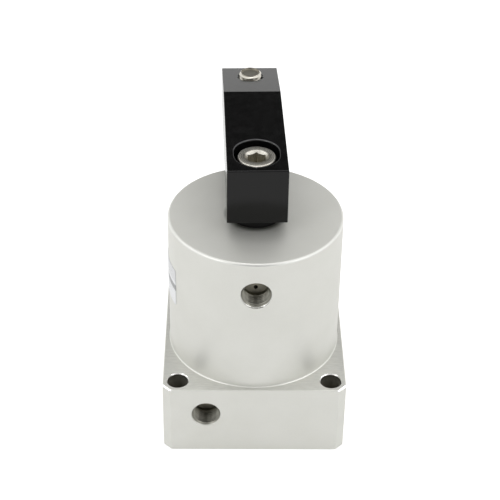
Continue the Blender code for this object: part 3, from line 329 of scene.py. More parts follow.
# %% [markdown]
# ## Threads
#
# A screw thread is a ridge that climbs one pitch in each turn. On a cylinder that is one formula: its
# height depends only on how many pitches a point lies above the helix, z / pitch - angle / (2 pi), taken
# without its whole part. The same formula cuts a tapped port and raises a bolt's thread.

# %% The thread formula
PORT_MAJOR, PORT_THREAD_DEPTH, PORT_PITCH = mm(4.87, 0.58, 0.907)
PORT_SIDES = 96
THREAD_STEPS = 14
FLOOR_SLOPE = math.tan(math.radians(14))


def ridge(turns, flat=0.16):
    """Height of a thread, 0 to 1, at a number of pitches above the helix: a V with flat crest and root."""
    phase = turns - np.floor(turns)
    wedge = np.abs(2 * phase - 1)
    flank = np.clip((wedge - flat) / (1 - 2 * flat), 0, 1)
    return flank * flank * (3 - 2 * flank)


def tapped_port(depth, rim, straight):
    """A cutter for a tapped port along +Z.

    Down to the straight depth its radius is the rim's. Below that a 45 degree cone narrows it to the
    thread, which runs between minor and major along the ridge formula and fades out above the floor.
    """
    chamfer = straight + rim - PORT_MAJOR
    thread_end = depth - 1.2 * PORT_PITCH
    fine = np.arange(0, thread_end, PORT_PITCH / THREAD_STEPS)
    height = np.concatenate([[-BEYOND, straight], fine[fine >= chamfer], [depth - 1.1 * PORT_PITCH, depth]])
    above = height[:, None]
    minor = PORT_MAJOR - PORT_THREAD_DEPTH
    fade = np.clip((thread_end - above) / PORT_PITCH, 0, 1)
    turns = above / PORT_PITCH - angles(PORT_SIDES) / (2 * math.pi)
    thread = minor + fade * PORT_THREAD_DEPTH * ridge(turns)
    cone = np.minimum(rim, rim + straight - above)
    radius = np.where(above < chamfer + PORT_THREAD_DEPTH, np.maximum(cone, thread), thread)
    radius = np.concatenate([radius, np.full((1, PORT_SIDES), TINY)])
    return radial_rings(radius, [*height, depth + minor * FLOOR_SLOPE], PORT_SIDES)


# %% [markdown]
# ## Holes in the housing
#
# The bore, its cover seat and the rod's gland are one turned shape taken out from below. The ports come
# in from the front, and a fine drilled passage joins each of them to the bore. The bolt holes have a
# small chamfer at both ends, which shows as a bright ring on the foot's top.

# %% Cut the bore and the gland
BORE, SEAT_RADIUS, SNAP_GROOVE = mm(20, 21.5, 22.8)
SEAT_CHAMFER, SNAP_LOW, SNAP_HIGH, SEAT_TOP = mm(0.4, 1.225, 2.975, 12.6)
GLAND_RADIUS, MOUTH_RADIUS, MOUTH_CHAMFER = mm(11.35, 8.75, 0.1)
CHAMBER_TOP = HOUSING_TOP - 12.5 * MM
GLAND_TOP = HOUSING_TOP - 0.6 * MM
bore_outline = [(TINY, -BEYOND), (SEAT_RADIUS + SEAT_CHAMFER + BEYOND, -BEYOND),
                (SEAT_RADIUS, SEAT_CHAMFER), (SEAT_RADIUS, SNAP_LOW), (SNAP_GROOVE, SNAP_LOW),
                (SNAP_GROOVE, SNAP_HIGH), (SEAT_RADIUS, SNAP_HIGH), (SEAT_RADIUS, SEAT_TOP),
                (BORE, SEAT_TOP), (BORE, CHAMBER_TOP), (GLAND_RADIUS, CHAMBER_TOP),
                (GLAND_RADIUS, GLAND_TOP), (MOUTH_RADIUS, GLAND_TOP),
                (MOUTH_RADIUS, HOUSING_TOP - MOUTH_CHAMFER),
                (MOUTH_RADIUS + MOUTH_CHAMFER + BEYOND, HOUSING_TOP + BEYOND), (TINY, HOUSING_TOP + BEYOND)]
cut(housing, bore=turned_rings(bore_outline, 160))

# %% Cut the ports and their air passages
UPPER_PORT_Z, LOWER_PORT_X, LOWER_PORT_Z = mm(66.9, -16.7, 16.5)
PASSAGE_TURN = math.radians(20)


def inwards(rings, start, turn=0.0):
    """Rings laid along +Y from a start, or turned by an angle towards the housing's axis."""
    return turned_to(rings, (math.sin(turn), math.cos(turn), 0)) + start


upper_drill = turned_rings([mm(0.7, 0), mm(0.7, 6)], 40)
lower_drill = turned_rings([mm(1.5, 0), mm(1.5, 13)], 40)
cut(housing, upper_port=inwards(tapped_port(*mm(7.5, 5.25, 0.5)), (0, -BARREL_RADIUS, UPPER_PORT_Z)),
    lower_port=inwards(tapped_port(*mm(8, 5.1, 0.1)), (LOWER_PORT_X, -FOOT_HALF, LOWER_PORT_Z)),
    upper_passage=inwards(upper_drill, (0, -24 * MM, UPPER_PORT_Z - 2.25 * MM)),
    lower_passage=inwards(lower_drill, (LOWER_PORT_X, -24.2 * MM, LOWER_PORT_Z), PASSAGE_TURN))

# %% Cut the bolt holes
BOLT_OFFSET, BOLT_HOLE, HOLE_CHAMFER = mm(26.5, 3.6, 0.3)
half_hole = [(BOLT_HOLE + HOLE_CHAMFER + OVER, OVER), (BOLT_HOLE, -HOLE_CHAMFER),
             *((BOLT_HOLE, z) for z in mm(-1, -2.5, -7))]
hole_outline = [(r, -z) for r, z in half_hole] + [(r, FOOT_HEIGHT + z) for r, z in half_hole[::-1]]
for x in (-BOLT_OFFSET, BOLT_OFFSET):
    for y in (-BOLT_OFFSET, BOLT_OFFSET):
        cut(housing, bolt_hole=turned_rings(hole_outline, 72) + (x, y, 0))

# %% Mark the insides of the holes


def hole_depth(x, y, z):
    """Depth in millimetres inside a port or a bolt hole, and 0 on the outside.

    A point is in a hole if its distance from the hole's axis is at most the hole's radius. Its depth is
    measured from the barrel's surface, the foot's front or the foot's ends, and darkens the hole's inside
    as painted shade. A bolt hole is open at both ends, so its depth counts up to 3 mm only, and its
    shade stays light.
    """
    margin = 0.1 * MM
    radius = PORT_MAJOR + margin
    in_upper = (np.hypot(x, z - UPPER_PORT_Z) < radius) & (y < -BORE)
    in_lower = (np.hypot(x - LOWER_PORT_X, z - LOWER_PORT_Z) < radius) & (y < -BORE - 1 * MM)
    in_bolt = np.hypot(np.abs(x) - BOLT_OFFSET, np.abs(y) - BOLT_OFFSET) < BOLT_HOLE + margin
    below_chamfer = np.minimum(z, FOOT_HEIGHT - z) - HOLE_CHAMFER
    depths = [BARREL_RADIUS - np.hypot(x, y), y + FOOT_HALF, np.clip(2 * below_chamfer, 0, 3 * MM)]
    return np.maximum(np.select([in_upper, in_lower, in_bolt], depths, 0.0), 0) / MM


keep(housing, "hole_depth", "POINT", hole_depth(*components(housing.data.vertices, "co")))

# %% Mark the broken edges for a painted highlight, and the milled top for painted shade


def smoothed_edges_with_highlight(mesh):
    """1 on the small faces that break an edge, 0 on the others.

    Those are the faces that lean, 0.12 < |nz| < 0.985, outside the bore. The foot's straight edges stay at
    0. The joint of foot and barrel gets 0.2, but 0 in the middle of the front, and the barrel's rim 0.4.
    The value makes these faces smoother and paints a highlight on them in a paler colour.
    """
    steep = np.abs(components(mesh.polygons, "normal")[2])
    x, y, z = components(mesh.polygons, "center")
    from_axis = np.hypot(x, y)
    leans = (steep > 0.12) & (steep < 0.985) & (from_axis > BORE)
    on_side = np.maximum(np.abs(x), np.abs(y)) > FOOT_HALF - 0.5 * MM
    off_corner = np.abs(x) + np.abs(y) < 2 * FOOT_HALF - FOOT_CORNER - 1 * MM
    joint = (np.abs(z - FOOT_HEIGHT) < 1 * MM) & (from_axis < BARREL_RADIUS + 1 * MM)
    values = np.where(leans & ~(on_side & off_corner), 1.0, 0.0)
    values[joint] *= np.where(np.abs(x[joint]) < 9 * MM, 0.0, 0.2)
    values[z > HOUSING_TOP - 2 * MM] *= 0.4
    return values


def milled_and_shaded_tops(mesh):
    """1 on the foot's top, which was milled and not blasted, and whose colour is darker as painted shade.
    """
    at_top = np.abs(components(mesh.polygons, "center")[2] - FOOT_HEIGHT) < 0.01 * MM
    return np.where(at_top & (components(mesh.polygons, "normal")[2] > 0.999), 1.0, 0.0)


keep(housing, "smooth_edge_and_highlight", "FACE", smoothed_edges_with_highlight(housing.data))
keep(housing, "milled_and_shaded_top", "FACE", milled_and_shaded_tops(housing.data))
smooth(housing)
place(housing, "housing_body", "housing")

# %% [markdown]
# ## The clamp arm
#
# The arm is a ground steel bar, blackened in a hot salt bath. Its side outline is carried across its
# width, and shrinks by the size of the edge round at both sides, so every edge of the bar is rounded at
# once. The screw's counterbore, the pocket for the rod and the hole in the tip are cut after that.

# %% Sizes of the arm
ARM_TURN = math.radians(1.55)
ARM_HALF, ARM_BOTTOM, ARM_TOP = mm(10.15, 83.2, 103.5)
ARM_BACK, ARM_FLAT, ARM_REACH, ARM_DROP = mm(-11.3, 41.5, 67.1, 4.3)
ARM_EDGE, FRONT_EDGE, RIDGE_ROUND = mm(0.2, 0.25, 0.1)
TIP_SLOPE = ARM_DROP / (ARM_REACH - ARM_FLAT)
BOLT_Y = ARM_REACH - 8.8 * MM
BOLT_SURFACE = ARM_TOP - TIP_SLOPE * (BOLT_Y - ARM_FLAT)


def arm_side(inset):
    """The arm's side outline in (y, z), moved inwards by an inset at every edge."""
    tip_top = ARM_TOP - ARM_DROP
    lean = math.hypot(1, TIP_SLOPE)
    corners = [(ARM_BACK + inset, ARM_BOTTOM + inset), (ARM_REACH - inset, ARM_BOTTOM + inset),
               (ARM_REACH - inset, tip_top - inset * lean + TIP_SLOPE * inset),
               (ARM_FLAT - inset * TIP_SLOPE / 2, ARM_TOP - inset), (ARM_BACK + inset, ARM_TOP - inset)]
    return rounded(corners, [ARM_EDGE, ARM_EDGE, ARM_EDGE, RIDGE_ROUND, ARM_EDGE + FRONT_EDGE - inset], 5)


side_round = edge_round(ARM_EDGE)
arm_layers = np.concatenate([side_round - (0, ARM_HALF), side_round[::-1] * (1, -1) + (0, ARM_HALF)])
arm_rings = [np.insert(arm_side(inset), 0, x, axis=1) for inset, x in arm_layers]
arm = ring_stack("black_arm", np.stack(arm_rings))
print("the tip slopes by", round(math.degrees(math.atan(TIP_SLOPE)), 2), "degrees")

# %% Cut the arm's holes
SCREW_SEAT = 94.3 * MM
SEAT = SCREW_SEAT - 0.3 * MM
COUNTERBORE, COUNTERBORE_STRETCH, RIM_ROUND = mm(7.6, 1, 0.4)
SCREW_HOLE, TIP_HOLE, TIP_CHAMFER = mm(4.5, 4.25, 0.5)
POCKET, POCKET_FLAT, POCKET_TOP = mm(6.25, 5.45, 89.7)
rim_edge = edge_round(RIM_ROUND)[::-1] * (1, -1) + (COUNTERBORE, ARM_TOP)
counterbore = turned_rings([(COUNTERBORE, SEAT), *rim_edge, (COUNTERBORE + RIM_ROUND, ARM_TOP + OVER)], 96)
counterbore[..., 1] += COUNTERBORE_STRETCH * np.sign(np.round(counterbore[..., 1], 9))
pocket = turned_rings([(POCKET, ARM_BOTTOM - BEYOND), (POCKET, POCKET_TOP)], 64)
pocket[..., 0] = np.clip(pocket[..., 0], -POCKET_FLAT, POCKET_FLAT)
above_tip = 3 * MM
tip_outline = [(TIP_HOLE, ARM_BOTTOM - BEYOND), (TIP_HOLE, BOLT_SURFACE - TIP_CHAMFER),
               (TIP_HOLE + TIP_CHAMFER + above_tip, BOLT_SURFACE + above_tip)]
cut(arm, counterbore=counterbore,
    screw_hole=turned_rings([(SCREW_HOLE, ARM_BOTTOM + OVER), (SCREW_HOLE, SEAT + OVER)], 72),
    pocket=pocket, tip_hole=turned_rings(tip_outline, 72) + (0, BOLT_Y, 0))

# %% Mark the rear of the counterbore's rim for a painted highlight
RIM_LIGHT_FROM, RIM_LIGHT_OVER = mm(1, 3.5)
across, along, up = components(arm.data.polygons, "center")
from_seat = np.hypot(across, np.maximum(np.abs(along) - COUNTERBORE_STRETCH, 0))
on_rim = (from_seat < COUNTERBORE + RIM_ROUND) & (up > ARM_TOP - RIM_ROUND)
on_rim &= components(arm.data.polygons, "normal")[2] < 0.985
# The rim's rear gets a painted highlight, fading in from 1 mm behind the middle.
keep(arm, "rim_highlight", "FACE", on_rim * np.clip((along - RIM_LIGHT_FROM) / RIM_LIGHT_OVER, 0, 1))
arm.data.transform(Matrix.Rotation(ARM_TURN, 4, "Z"))
smooth(arm)
place(arm, "rod_and_arm", "clamp_arm")

# %% [markdown]
# ## The socket screw
#
# The screw's head has a knurled side, a rounded rim and a hexagon socket with a wide entry cone and a
# drilled floor. The head is a turned outline, the knurl scales its radius by a triangle wave round the
# axis, and the socket is a hexagonal bar taken out of it. Shade is painted into the socket.

# %% Make the socket screw
HEAD_RADIUS, SHANK_RADIUS, SOCKET_HALF = mm(6.5, 4, 3)
HEAD_TOP = SCREW_SEAT + 8 * MM
SOCKET_FLOOR = HEAD_TOP - 4.6 * MM
SCREW_TIP = SCREW_SEAT - 20 * MM
SCREW_POINT = 0.4 * MM
ENTRY_RADIUS, ENTRY_DEPTH = mm(4, 0.9)
KNURLS = 56
KNURL_DEPTH = 0.16 * MM
FLAT_SHARE = 0.13
screw_outline = rounded(
    [(TINY, SCREW_TIP), (SHANK_RADIUS - SCREW_POINT, SCREW_TIP), (SHANK_RADIUS, SCREW_TIP + 0.5 * MM),
     (SHANK_RADIUS, SCREW_SEAT), (HEAD_RADIUS, SCREW_SEAT), (HEAD_RADIUS, HEAD_TOP), (TINY, HEAD_TOP)],
    mm(0.001, 0.1, 0.1, 0.2, 0.2, 0.6, 0.001), 6)
screw_rings = turned_rings(screw_outline, 4 * KNURLS)
knurl = 1 - KNURL_DEPTH / HEAD_RADIUS * np.abs(np.arange(4 * KNURLS) / 2 % 2 - 1)
on_side = (screw_outline[:, 0] > HEAD_RADIUS - 0.35 * MM) & (screw_outline[:, 1] > SCREW_SEAT + 0.3 * MM)
screw_rings[on_side, :, :2] *= knurl[:, None]
screw = ring_stack("socket_screw", screw_rings)
hexagon_angles = math.pi / 6 + angles(6)
corner_radius = SOCKET_HALF / math.cos(math.pi / 6)
hexagon = corner_radius * np.stack([np.cos(hexagon_angles), np.sin(hexagon_angles)], axis=-1)
hexagon = rounded(hexagon, 0.15 * MM, 3)
bar_outline = []
for point, after in zip(hexagon, np.roll(hexagon, -1, axis=0)):
    step = FLAT_SHARE * (after - point)
    is_flat = np.hypot(*(after - point)) > 1 * MM
    bar_outline += [point, point + step, after - step] if is_flat else [point]
bar = np.stack([np.insert(np.array(bar_outline), 2, z, axis=1) for z in (SOCKET_FLOOR, HEAD_TOP + OVER)])
entry = [(TINY, HEAD_TOP - ENTRY_DEPTH), (ENTRY_RADIUS - ENTRY_DEPTH, HEAD_TOP - ENTRY_DEPTH),
         (ENTRY_RADIUS + OVER, HEAD_TOP + OVER), (TINY, HEAD_TOP + OVER)]
floor_low, floor_rim, floor_high = (SOCKET_FLOOR + rise for rise in mm(-1.1, 0.3, 0.4))
drilled = [(TINY, floor_low), (2.6 * MM, floor_rim), (TINY, floor_high)]
cut(screw, socket=bar, entry=turned_rings(entry, 96), drilled=turned_rings(drilled, 48))

# %% Mark the painted shade in the socket


def socket_painted_shade(x, y, z):
    """How much painted shade a point of the screw gets, from 0 to 1.

    In the socket it grows from 0.15 at the entry cone's foot to 0.7 at the floor, and it is 1 in the rear
    corner. On the cone it is 0.7 at the front and at the sides, and falls to 0 at the rear.
    """
    radius = np.hypot(x, y)
    in_socket = (radius < 3.7 * MM) & (z > SOCKET_FLOOR - 1.2 * MM)
    on_cone = (radius > 3.05 * MM) & (radius < 4.1 * MM) & (z > HEAD_TOP - 1.0 * MM)
    sides = 0.7 * np.clip((0.5 - y / np.maximum(radius, TINY)) / 0.35, 0, 1)
    walls = np.maximum(0.7 * (HEAD_TOP - 1.2 * MM - z) / (3.4 * MM), 0.15)
    corner = in_socket & (np.abs(x) < 0.2 * MM) & (y > SOCKET_HALF) & (z < HEAD_TOP - 0.6 * MM)
    return np.clip(np.select([corner, on_cone, in_socket], [1.0, sides, walls], 0), 0, 1)


keep(screw, "painted_shade", "POINT", socket_painted_shade(*components(screw.data.vertices, "co")))
screw.data.transform(Matrix.Rotation(ARM_TURN, 4, "Z"))
smooth(screw)
place(screw, "rod_and_arm", "arm_screw")

# %% [markdown]
# ## The clamp bolt and its nut
#
# A hexagon whose corners are turned off is the smaller of two radii at each point: the hexagon's, which
# depends on the angle, and a cone's, which depends on the height. Together with the thread formula that
# gives the whole bolt, and the whole nut, as one grid each.

# %% Hexagon and thread as radii
BOLT_SIDES = 96
BOLT_RADIUS, BOLT_PITCH, BOLT_THREAD_DEPTH, HEX_HALF = mm(4, 1.25, 0.67, 6.5)
BOLT_STEP = BOLT_PITCH / 12
CHAMFER_SLOPE = math.tan(math.radians(30))
bolt_angles = angles(BOLT_SIDES)


def hexagon_wall(low, high, high_turned, rows=24):
    """Rows of radii for a hexagon: HEX_HALF / cos of the angle to the middle of the nearest flat.

    A 30 degree cone turns off its corners at the lower end, and at the upper end if it is asked for.
    """
    face = HEX_HALF * 0.95
    from_middle = (bolt_angles + math.pi / 6) % (math.pi / 3) - math.pi / 6
    height = low + (high - low) * (1 - np.cos(np.linspace(0, math.pi, rows))) / 2
    wall = np.repeat((HEX_HALF / np.cos(from_middle))[None, :], rows, axis=0)
    wall = np.minimum(wall, (face + (height - low) / CHAMFER_SLOPE)[:, None])
    if high_turned:
        wall = np.minimum(wall, (face + (high - height) / CHAMFER_SLOPE)[:, None])
    return wall, height


def even_rows(*radii):
    """One row of equal radii for each radius given."""
    return np.repeat(np.array(radii)[:, None], BOLT_SIDES, axis=1)


# %% Make the clamp bolt
bolt_low, bolt_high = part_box("clamp_bolt")
END_RIM, END_CUP, CUP_DEPTH, CUP_ROUND = mm(3.42, 3.2, 0.5, 0.15)
head_top = bolt_low.z + 5.3 * MM
cup_floor = bolt_high.z - CUP_DEPTH
wall, wall_height = hexagon_wall(bolt_low.z, head_top, False)
thread_height = np.arange(head_top + 2.5 * MM, bolt_high.z - 0.05 * MM, BOLT_STEP)
front_crest = BOLT_SURFACE + 0.85 * MM
turns = (thread_height[:, None] - front_crest) / BOLT_PITCH - (bolt_angles + math.pi / 2) / (2 * math.pi)
thread = BOLT_RADIUS - BOLT_THREAD_DEPTH * (1 - ridge(turns))
thread = np.minimum(thread, (END_RIM + (bolt_high.z - thread_height))[:, None])
bolt_radius = np.concatenate([even_rows(TINY), wall, even_rows(*mm(4.3, 4, 3.95)), thread,
                              even_rows(END_RIM, END_CUP, END_CUP - CUP_ROUND, TINY)])
bolt_height = [bolt_low.z, *wall_height, *(head_top + rise for rise in mm(0, 0.3, 2.2)), *thread_height,
               bolt_high.z, bolt_high.z, cup_floor, cup_floor]
bolt_centre = np.array(Matrix.Rotation(ARM_TURN, 3, "Z") @ Vector((0, BOLT_Y, 0)))
bolt = ring_stack("threaded_bolt", radial_rings(bolt_radius, bolt_height, BOLT_SIDES) + bolt_centre)
x, y, z = components(bolt.data.vertices, "co") - bolt_centre[:, None]
# The cup at the bolt's end gets painted shade.
in_cup = (z > cup_floor - TINY) & (np.hypot(x, y) < END_CUP + 0.05 * MM)
keep(bolt, "painted_shade", "POINT", np.where(in_cup, 0.6, 0.0))
smooth(bolt, 40)
place(bolt, "clamp_bolt", "clamp_bolt")

# %% Make the lock nut
nut_low, nut_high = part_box("clamp_lock_nut")
NUT_ENTRY, NUT_CREST, NUT_CHAMFER = mm(4.6, 4.28, 0.3)
wall, wall_height = hexagon_wall(nut_low.z, nut_high.z, True)
inner_height = np.arange(nut_high.z - NUT_CHAMFER, nut_low.z + NUT_CHAMFER, -BOLT_STEP)
turns = 0.5 + inner_height[:, None] / BOLT_PITCH - bolt_angles / (2 * math.pi)
inner = NUT_CREST - 0.4 * BOLT_THREAD_DEPTH * ridge(turns)
nut_radius = np.concatenate([wall, even_rows(NUT_ENTRY), inner, even_rows(NUT_ENTRY)])
nut_height = [*wall_height, nut_high.z, *inner_height, nut_low.z]
nut_rings = radial_rings(nut_radius, nut_height, BOLT_SIDES) + bolt_centre
nut = ring_stack("hexagon_lock_nut", nut_rings, loop=True)
smooth(nut, 40)
place(nut, "rod_and_arm", "clamp_lock_nut")

# %% [markdown]
# ## The rod and its scraper
#
# The rod is ground and hard chromed, so it must be truly round: it is one turned grid, from the blind end
# of its bore, round its tail, up its stem, over the spigot with its two flats and down into the tapped
# hole. The scraper is a rubber lip that keeps dirt off the rod and stands a little above the barrel's
# top.

# %% Make the rod
rod_low, rod_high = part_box("piston_rod")
ROD, ROD_BORE, ROD_TAIL, SPIGOT, SPIGOT_FLAT, TAPPED_HOLE = mm(8, 5.1, 7, 6, 5.2, 4.25)
TAIL_TOP, BORE_WALL_END, BORE_TIP, TAPPED_FLOOR, ROD_TOP = mm(33.45, 65.7, 67.7, 72.6, 82.9)
rod_outline = rounded(
    [(TINY, BORE_TIP), (ROD_BORE, BORE_WALL_END), (ROD_BORE, rod_low.z), (ROD_TAIL, rod_low.z),
     (ROD_TAIL, TAIL_TOP), (ROD, TAIL_TOP), (ROD, ROD_TOP), (SPIGOT, ROD_TOP), (SPIGOT, rod_high.z),
     (TAPPED_HOLE, rod_high.z), (TAPPED_HOLE, TAPPED_FLOOR), (TINY, TAPPED_FLOOR)],
    mm(0.001, 0.1, 0.2, 0.2, 0.1, 0.2, 0.4, 0.1, 0.3, 0.2, 0.1, 0.001), 3)
rod_rings = turned_rings(rod_outline, 128)
on_spigot = (rod_outline[:, 1] > ROD_TOP + 0.11 * MM) & (rod_outline[:, 0] > SPIGOT_FLAT)
rod_rings[on_spigot, :, 0] = np.clip(rod_rings[on_spigot, :, 0], -SPIGOT_FLAT, SPIGOT_FLAT)
rod = ring_stack("chromed_rod", rod_rings)
smooth(rod)
place(rod, "rod_and_arm", "piston_rod")

# %% Make the scraper
scraper_low, scraper_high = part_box("rod_scraper")
SCRAPER_EDGE, SCRAPER_BORE, SCRAPER_LIP, SCRAPER_FLANGE = mm(8.08, 8.25, 8.55, 10.5)
flange_top = scraper_low.z + 1.1 * MM
scraper_outline = rounded(
    [(SCRAPER_BORE, scraper_low.z), (SCRAPER_FLANGE, scraper_low.z), (SCRAPER_FLANGE, flange_top),
     (SCRAPER_LIP, flange_top), (SCRAPER_LIP, scraper_high.z), (SCRAPER_BORE, scraper_high.z),
     (SCRAPER_EDGE, scraper_high.z - 0.35 * MM), (SCRAPER_BORE, flange_top)],
    mm(0.1, 0.15, 0.15, 0.05, 0.12, 0.05, 0.04, 0.1))
scraper = ring_stack("rubber_scraper", turned_rings(scraper_outline, 128), loop=True)
smooth(scraper)
place(scraper, "housing_body", "rod_scraper")

# %% [markdown]
# ## The cover in the foot
#
# From below one sees the cover's hub, level with the foot, and the snap ring round it. The cover is a
# turned outline with broken edges and a centre mark left by the lathe.

# %% Make the cover
cover_low, cover_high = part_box("bottom_cover")
COVER, HUB, O_RING_FLOOR, SHAFT_HOLE, CENTRE_MARK = mm(21.25, 15, 19.35, 4.25, 1)
MARK_TOP, STEP, SHAFT_FLOOR, O_RING_LOW, O_RING_HIGH = mm(0.9, 3.1, 4, 5.1, 7.5)
cover_outline = rounded(
    [(TINY, MARK_TOP), (CENTRE_MARK, 0), (HUB, 0), (HUB, STEP), (COVER, STEP), (COVER, O_RING_LOW),
     (O_RING_FLOOR, O_RING_LOW), (O_RING_FLOOR, O_RING_HIGH), (COVER, O_RING_HIGH), (COVER, cover_high.z),
     (SHAFT_HOLE, cover_high.z), (SHAFT_HOLE, SHAFT_FLOOR), (TINY, SHAFT_FLOOR)],
    mm(0.001, 0.05, 0.4, 0.1, 0.3, 0.1, 0.1, 0.1, 0.1, 0.3, 0.2, 0.1, 0.001), 3)
cover = ring_stack("turned_cover", turned_rings(cover_outline, 160))
cross_hole = turned_to(turned_rings([mm(1.45, -8.5), mm(1.45, 24)], 32), (1, 0, 0))
cut(cover, cross_hole=cross_hole + mm(0, 0, 9.9),
    dowel_hole=turned_rings([mm(1.25, 8.55), mm(1.25, 16)], 32) + mm(0, 20.7, 0))
smooth(cover)
place(cover, "housing_body", "bottom_cover")

# %% [markdown]
# ## The label
#
# A thin film with rounded corners, wrapped round the barrel's left side. Its outline is a rounded
# rectangle in arc length and height. Rings that shrink towards its middle line follow the barrel, first
# on the inner face and then on the outer one.

# %% Make the label
label_low, label_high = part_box("type_label")
LABEL_OUTER = BARREL_RADIUS + 0.16 * MM
LABEL_INNER = BARREL_RADIUS + 0.03 * MM
LABEL_FRONT = math.radians(205.7)
LABEL_LENGTH = 40 * MM
POINTS_PER_SIDE = 20
half_length, half_height = LABEL_LENGTH / 2, (label_high.z - label_low.z) / 2
label_middle = (label_high.z + label_low.z) / 2
flat_outline = rounded([(-half_length, -half_height), (half_length, -half_height),
                        (half_length, half_height), (-half_length, half_height)], 0.9 * MM, 6)
share = np.linspace(0, 1, POINTS_PER_SIDE, endpoint=False)[None, :, None]
next_corner = np.roll(flat_outline, -1, axis=0)
flat_outline = (flat_outline[:, None] * (1 - share) + next_corner[:, None] * share).reshape(-1, 2)
arc_angle = LABEL_FRONT + (flat_outline[:, 0] - half_length) / BARREL_RADIUS


def label_ring(radius, shrink):
    """The outline on a cylinder of a radius, its height shrunk by a factor towards the middle line."""
    height = label_middle + flat_outline[:, 1] * shrink
    return np.column_stack([radius * np.cos(arc_angle), radius * np.sin(arc_angle), height])


shrinks = np.linspace(1, 0.02, 5)
label_rings = [label_ring(LABEL_INNER, shrink) for shrink in shrinks[::-1]]
label_rings += [label_ring(LABEL_OUTER, shrink) for shrink in shrinks]
label = ring_stack("blank_label", np.stack(label_rings))
smooth(label, 60)
place(label, "housing_body", "type_label")

# %% [markdown]
# ## Finishes
#
# Every finish is worked out from the piece's own Object coordinates, so it sits still on the metal as the
# clamp moves. Two small classes add nodes and link them: one for any node tree, one for a material.

# %% Build materials from nodes


class Graph:
    """A node tree and a short way to add nodes to it."""

    def __init__(self, tree):
        self.nodes = tree.nodes
        self.links = tree.links

    def feed(self, socket, value):
        """Links an output to an input, or sets the input itself. One number as a colour is a grey."""
        if isinstance(value, bpy.types.NodeSocket):
            self.links.new(value, socket)
        elif socket.type == "RGBA":
            socket.default_value = (*value, 1) if np.ndim(value) else (value, value, value, 1)
        else:
            socket.default_value = value

    def add(self, kind, **values):
        """A node of a kind. A value sets an attribute, or feeds an input by name or, as i0, by number."""
        node = self.nodes.new("ShaderNode" + kind)
        for key, value in values.items():
            if hasattr(node, key):
                setattr(node, key, value)
            else:
                self.feed(node.inputs[int(key[1:]) if key[1:].isdigit() else key], value)
        return node

    def spread(self, value, low, high, start=0.3, end=0.7, shape="LINEAR"):
        """Maps a value from the range start to end, at first the usual one of a noise, to low to high."""
        limits = {"From Min": start, "From Max": end, "To Min": low, "To Max": high}
        return self.add("MapRange", interpolation_type=shape, Value=value, **limits).outputs["Result"]


class Finish(Graph):
    """A Principled material."""

    def __init__(self, name, color, metallic, roughness):
        self.material = bpy.data.materials.new(name)
        self.material.use_nodes = True
        super().__init__(self.material.node_tree)
        self.shader = self.nodes["Principled BSDF"]
        self.drive("Base Color", color)
        self.drive("Metallic", metallic)
        self.drive("Roughness", roughness)
        self.coordinates = self.add("TexCoord").outputs["Object"]

    def drive(self, name, value):
        """Feeds one of the shader's inputs."""
        self.feed(self.shader.inputs[name], value)

    def kept(self, name):
        """A value that the mesh keeps at its vertices or faces."""
        return self.add("Attribute", attribute_name=name).outputs["Fac"]

    def stretched(self, scale):
        """Object coordinates stretched along each axis."""
        return self.add("Mapping", Vector=self.coordinates, Scale=scale).outputs["Vector"]

    def noise(self, scale, detail, vector=None):
        """Noise of a scale, as a value round one half."""
        vector = vector or self.coordinates
        return self.add("TexNoise", Vector=vector, Scale=scale, Detail=detail).outputs[0]

    def blend(self, factor, first, second):
        """A colour between two, by a factor."""
        return self.add("Mix", data_type="RGBA", Factor=factor, i6=first, i7=second).outputs[2]

    def bump(self, height, distance, below=None):
        """A bump whose full height is a distance in metres, on top of another one if it is given."""
        node = self.add("Bump", Height=height, Distance=distance, Strength=1.0)
        if below is not None:
            self.feed(node.inputs["Normal"], below)
        return node.outputs["Normal"]

    def grainy(self, noise, low, high, depth):
        """Lets a noise vary the roughness from low to high and raise a bump of a depth."""
        self.drive("Roughness", self.spread(noise, low, high))
        self.drive("Normal", self.bump(noise, depth))
        return noise


def tell(*finishes):
    """Prints how many nodes each finish has."""
    print({finish.material.name: len(finish.nodes) for finish in finishes})


# %% [markdown]
# ### Anodised aluminium
#
# The housing was blasted with fine beads before it was anodised. That leaves thousands of tiny dimples,
# which spread the reflection, so the metal looks pale and soft. Two sizes of noise stand for the dimples,
# and a slow one varies the tone a little. A broken edge is smoother than the blasted faces next to it, so
# its value lowers the roughness there, and it also paints a highlight on the edge in a paler colour. The
# ports and the bolt holes get painted shade inside: hole_depth turns them dark at the mouth, paler below
# it, and darker again towards the floor. The foot's top is milled, with fine streaks, and its colour is
# darker as painted shade. A painted shadow darkens the barrel's top in a ring round the rod, under the arm.

# %% Anodised finish
anodised = Finish("anodised aluminium", (0.79, 0.79, 0.755), 0.85, 0.55)
dimples = anodised.noise(5200, 3)
grain = anodised.noise(1500, 5)
clouds = anodised.noise(90, 3)
streaks = anodised.noise(1.0, 3, anodised.stretched((420, 2600, 2600)))
depth = anodised.kept("hole_depth")
# Broken edges are smoother, and their paler colour is a painted highlight.
edge = anodised.kept("smooth_edge_and_highlight")
pale = anodised.blend(anodised.spread(clouds, 0, 1), (0.81, 0.81, 0.768), (0.835, 0.835, 0.796))
# The milled top's streaks are its own, and its darker tone is painted shade.
streaked_and_shaded = anodised.blend(anodised.spread(streaks, 0, 1), (0.63, 0.63, 0.60), (0.71, 0.71, 0.68))
blasted = anodised.blend(anodised.kept("milled_and_shaded_top"), pale, streaked_and_shaded)
# A painted shadow: the barrel's top darkens in a ring round the rod, under the arm.
from_rod = anodised.add("VectorMath", operation="LENGTH", i0=anodised.stretched((1, 1, 0))).outputs["Value"]
painted_shadow_under_arm = anodised.spread(from_rod, 1, 0, 9.4 * MM, 11.2 * MM)
outside = anodised.blend(painted_shadow_under_arm, anodised.blend(edge, blasted, (0.88, 0.88, 0.86)), (0.20, 0.20, 0.18))
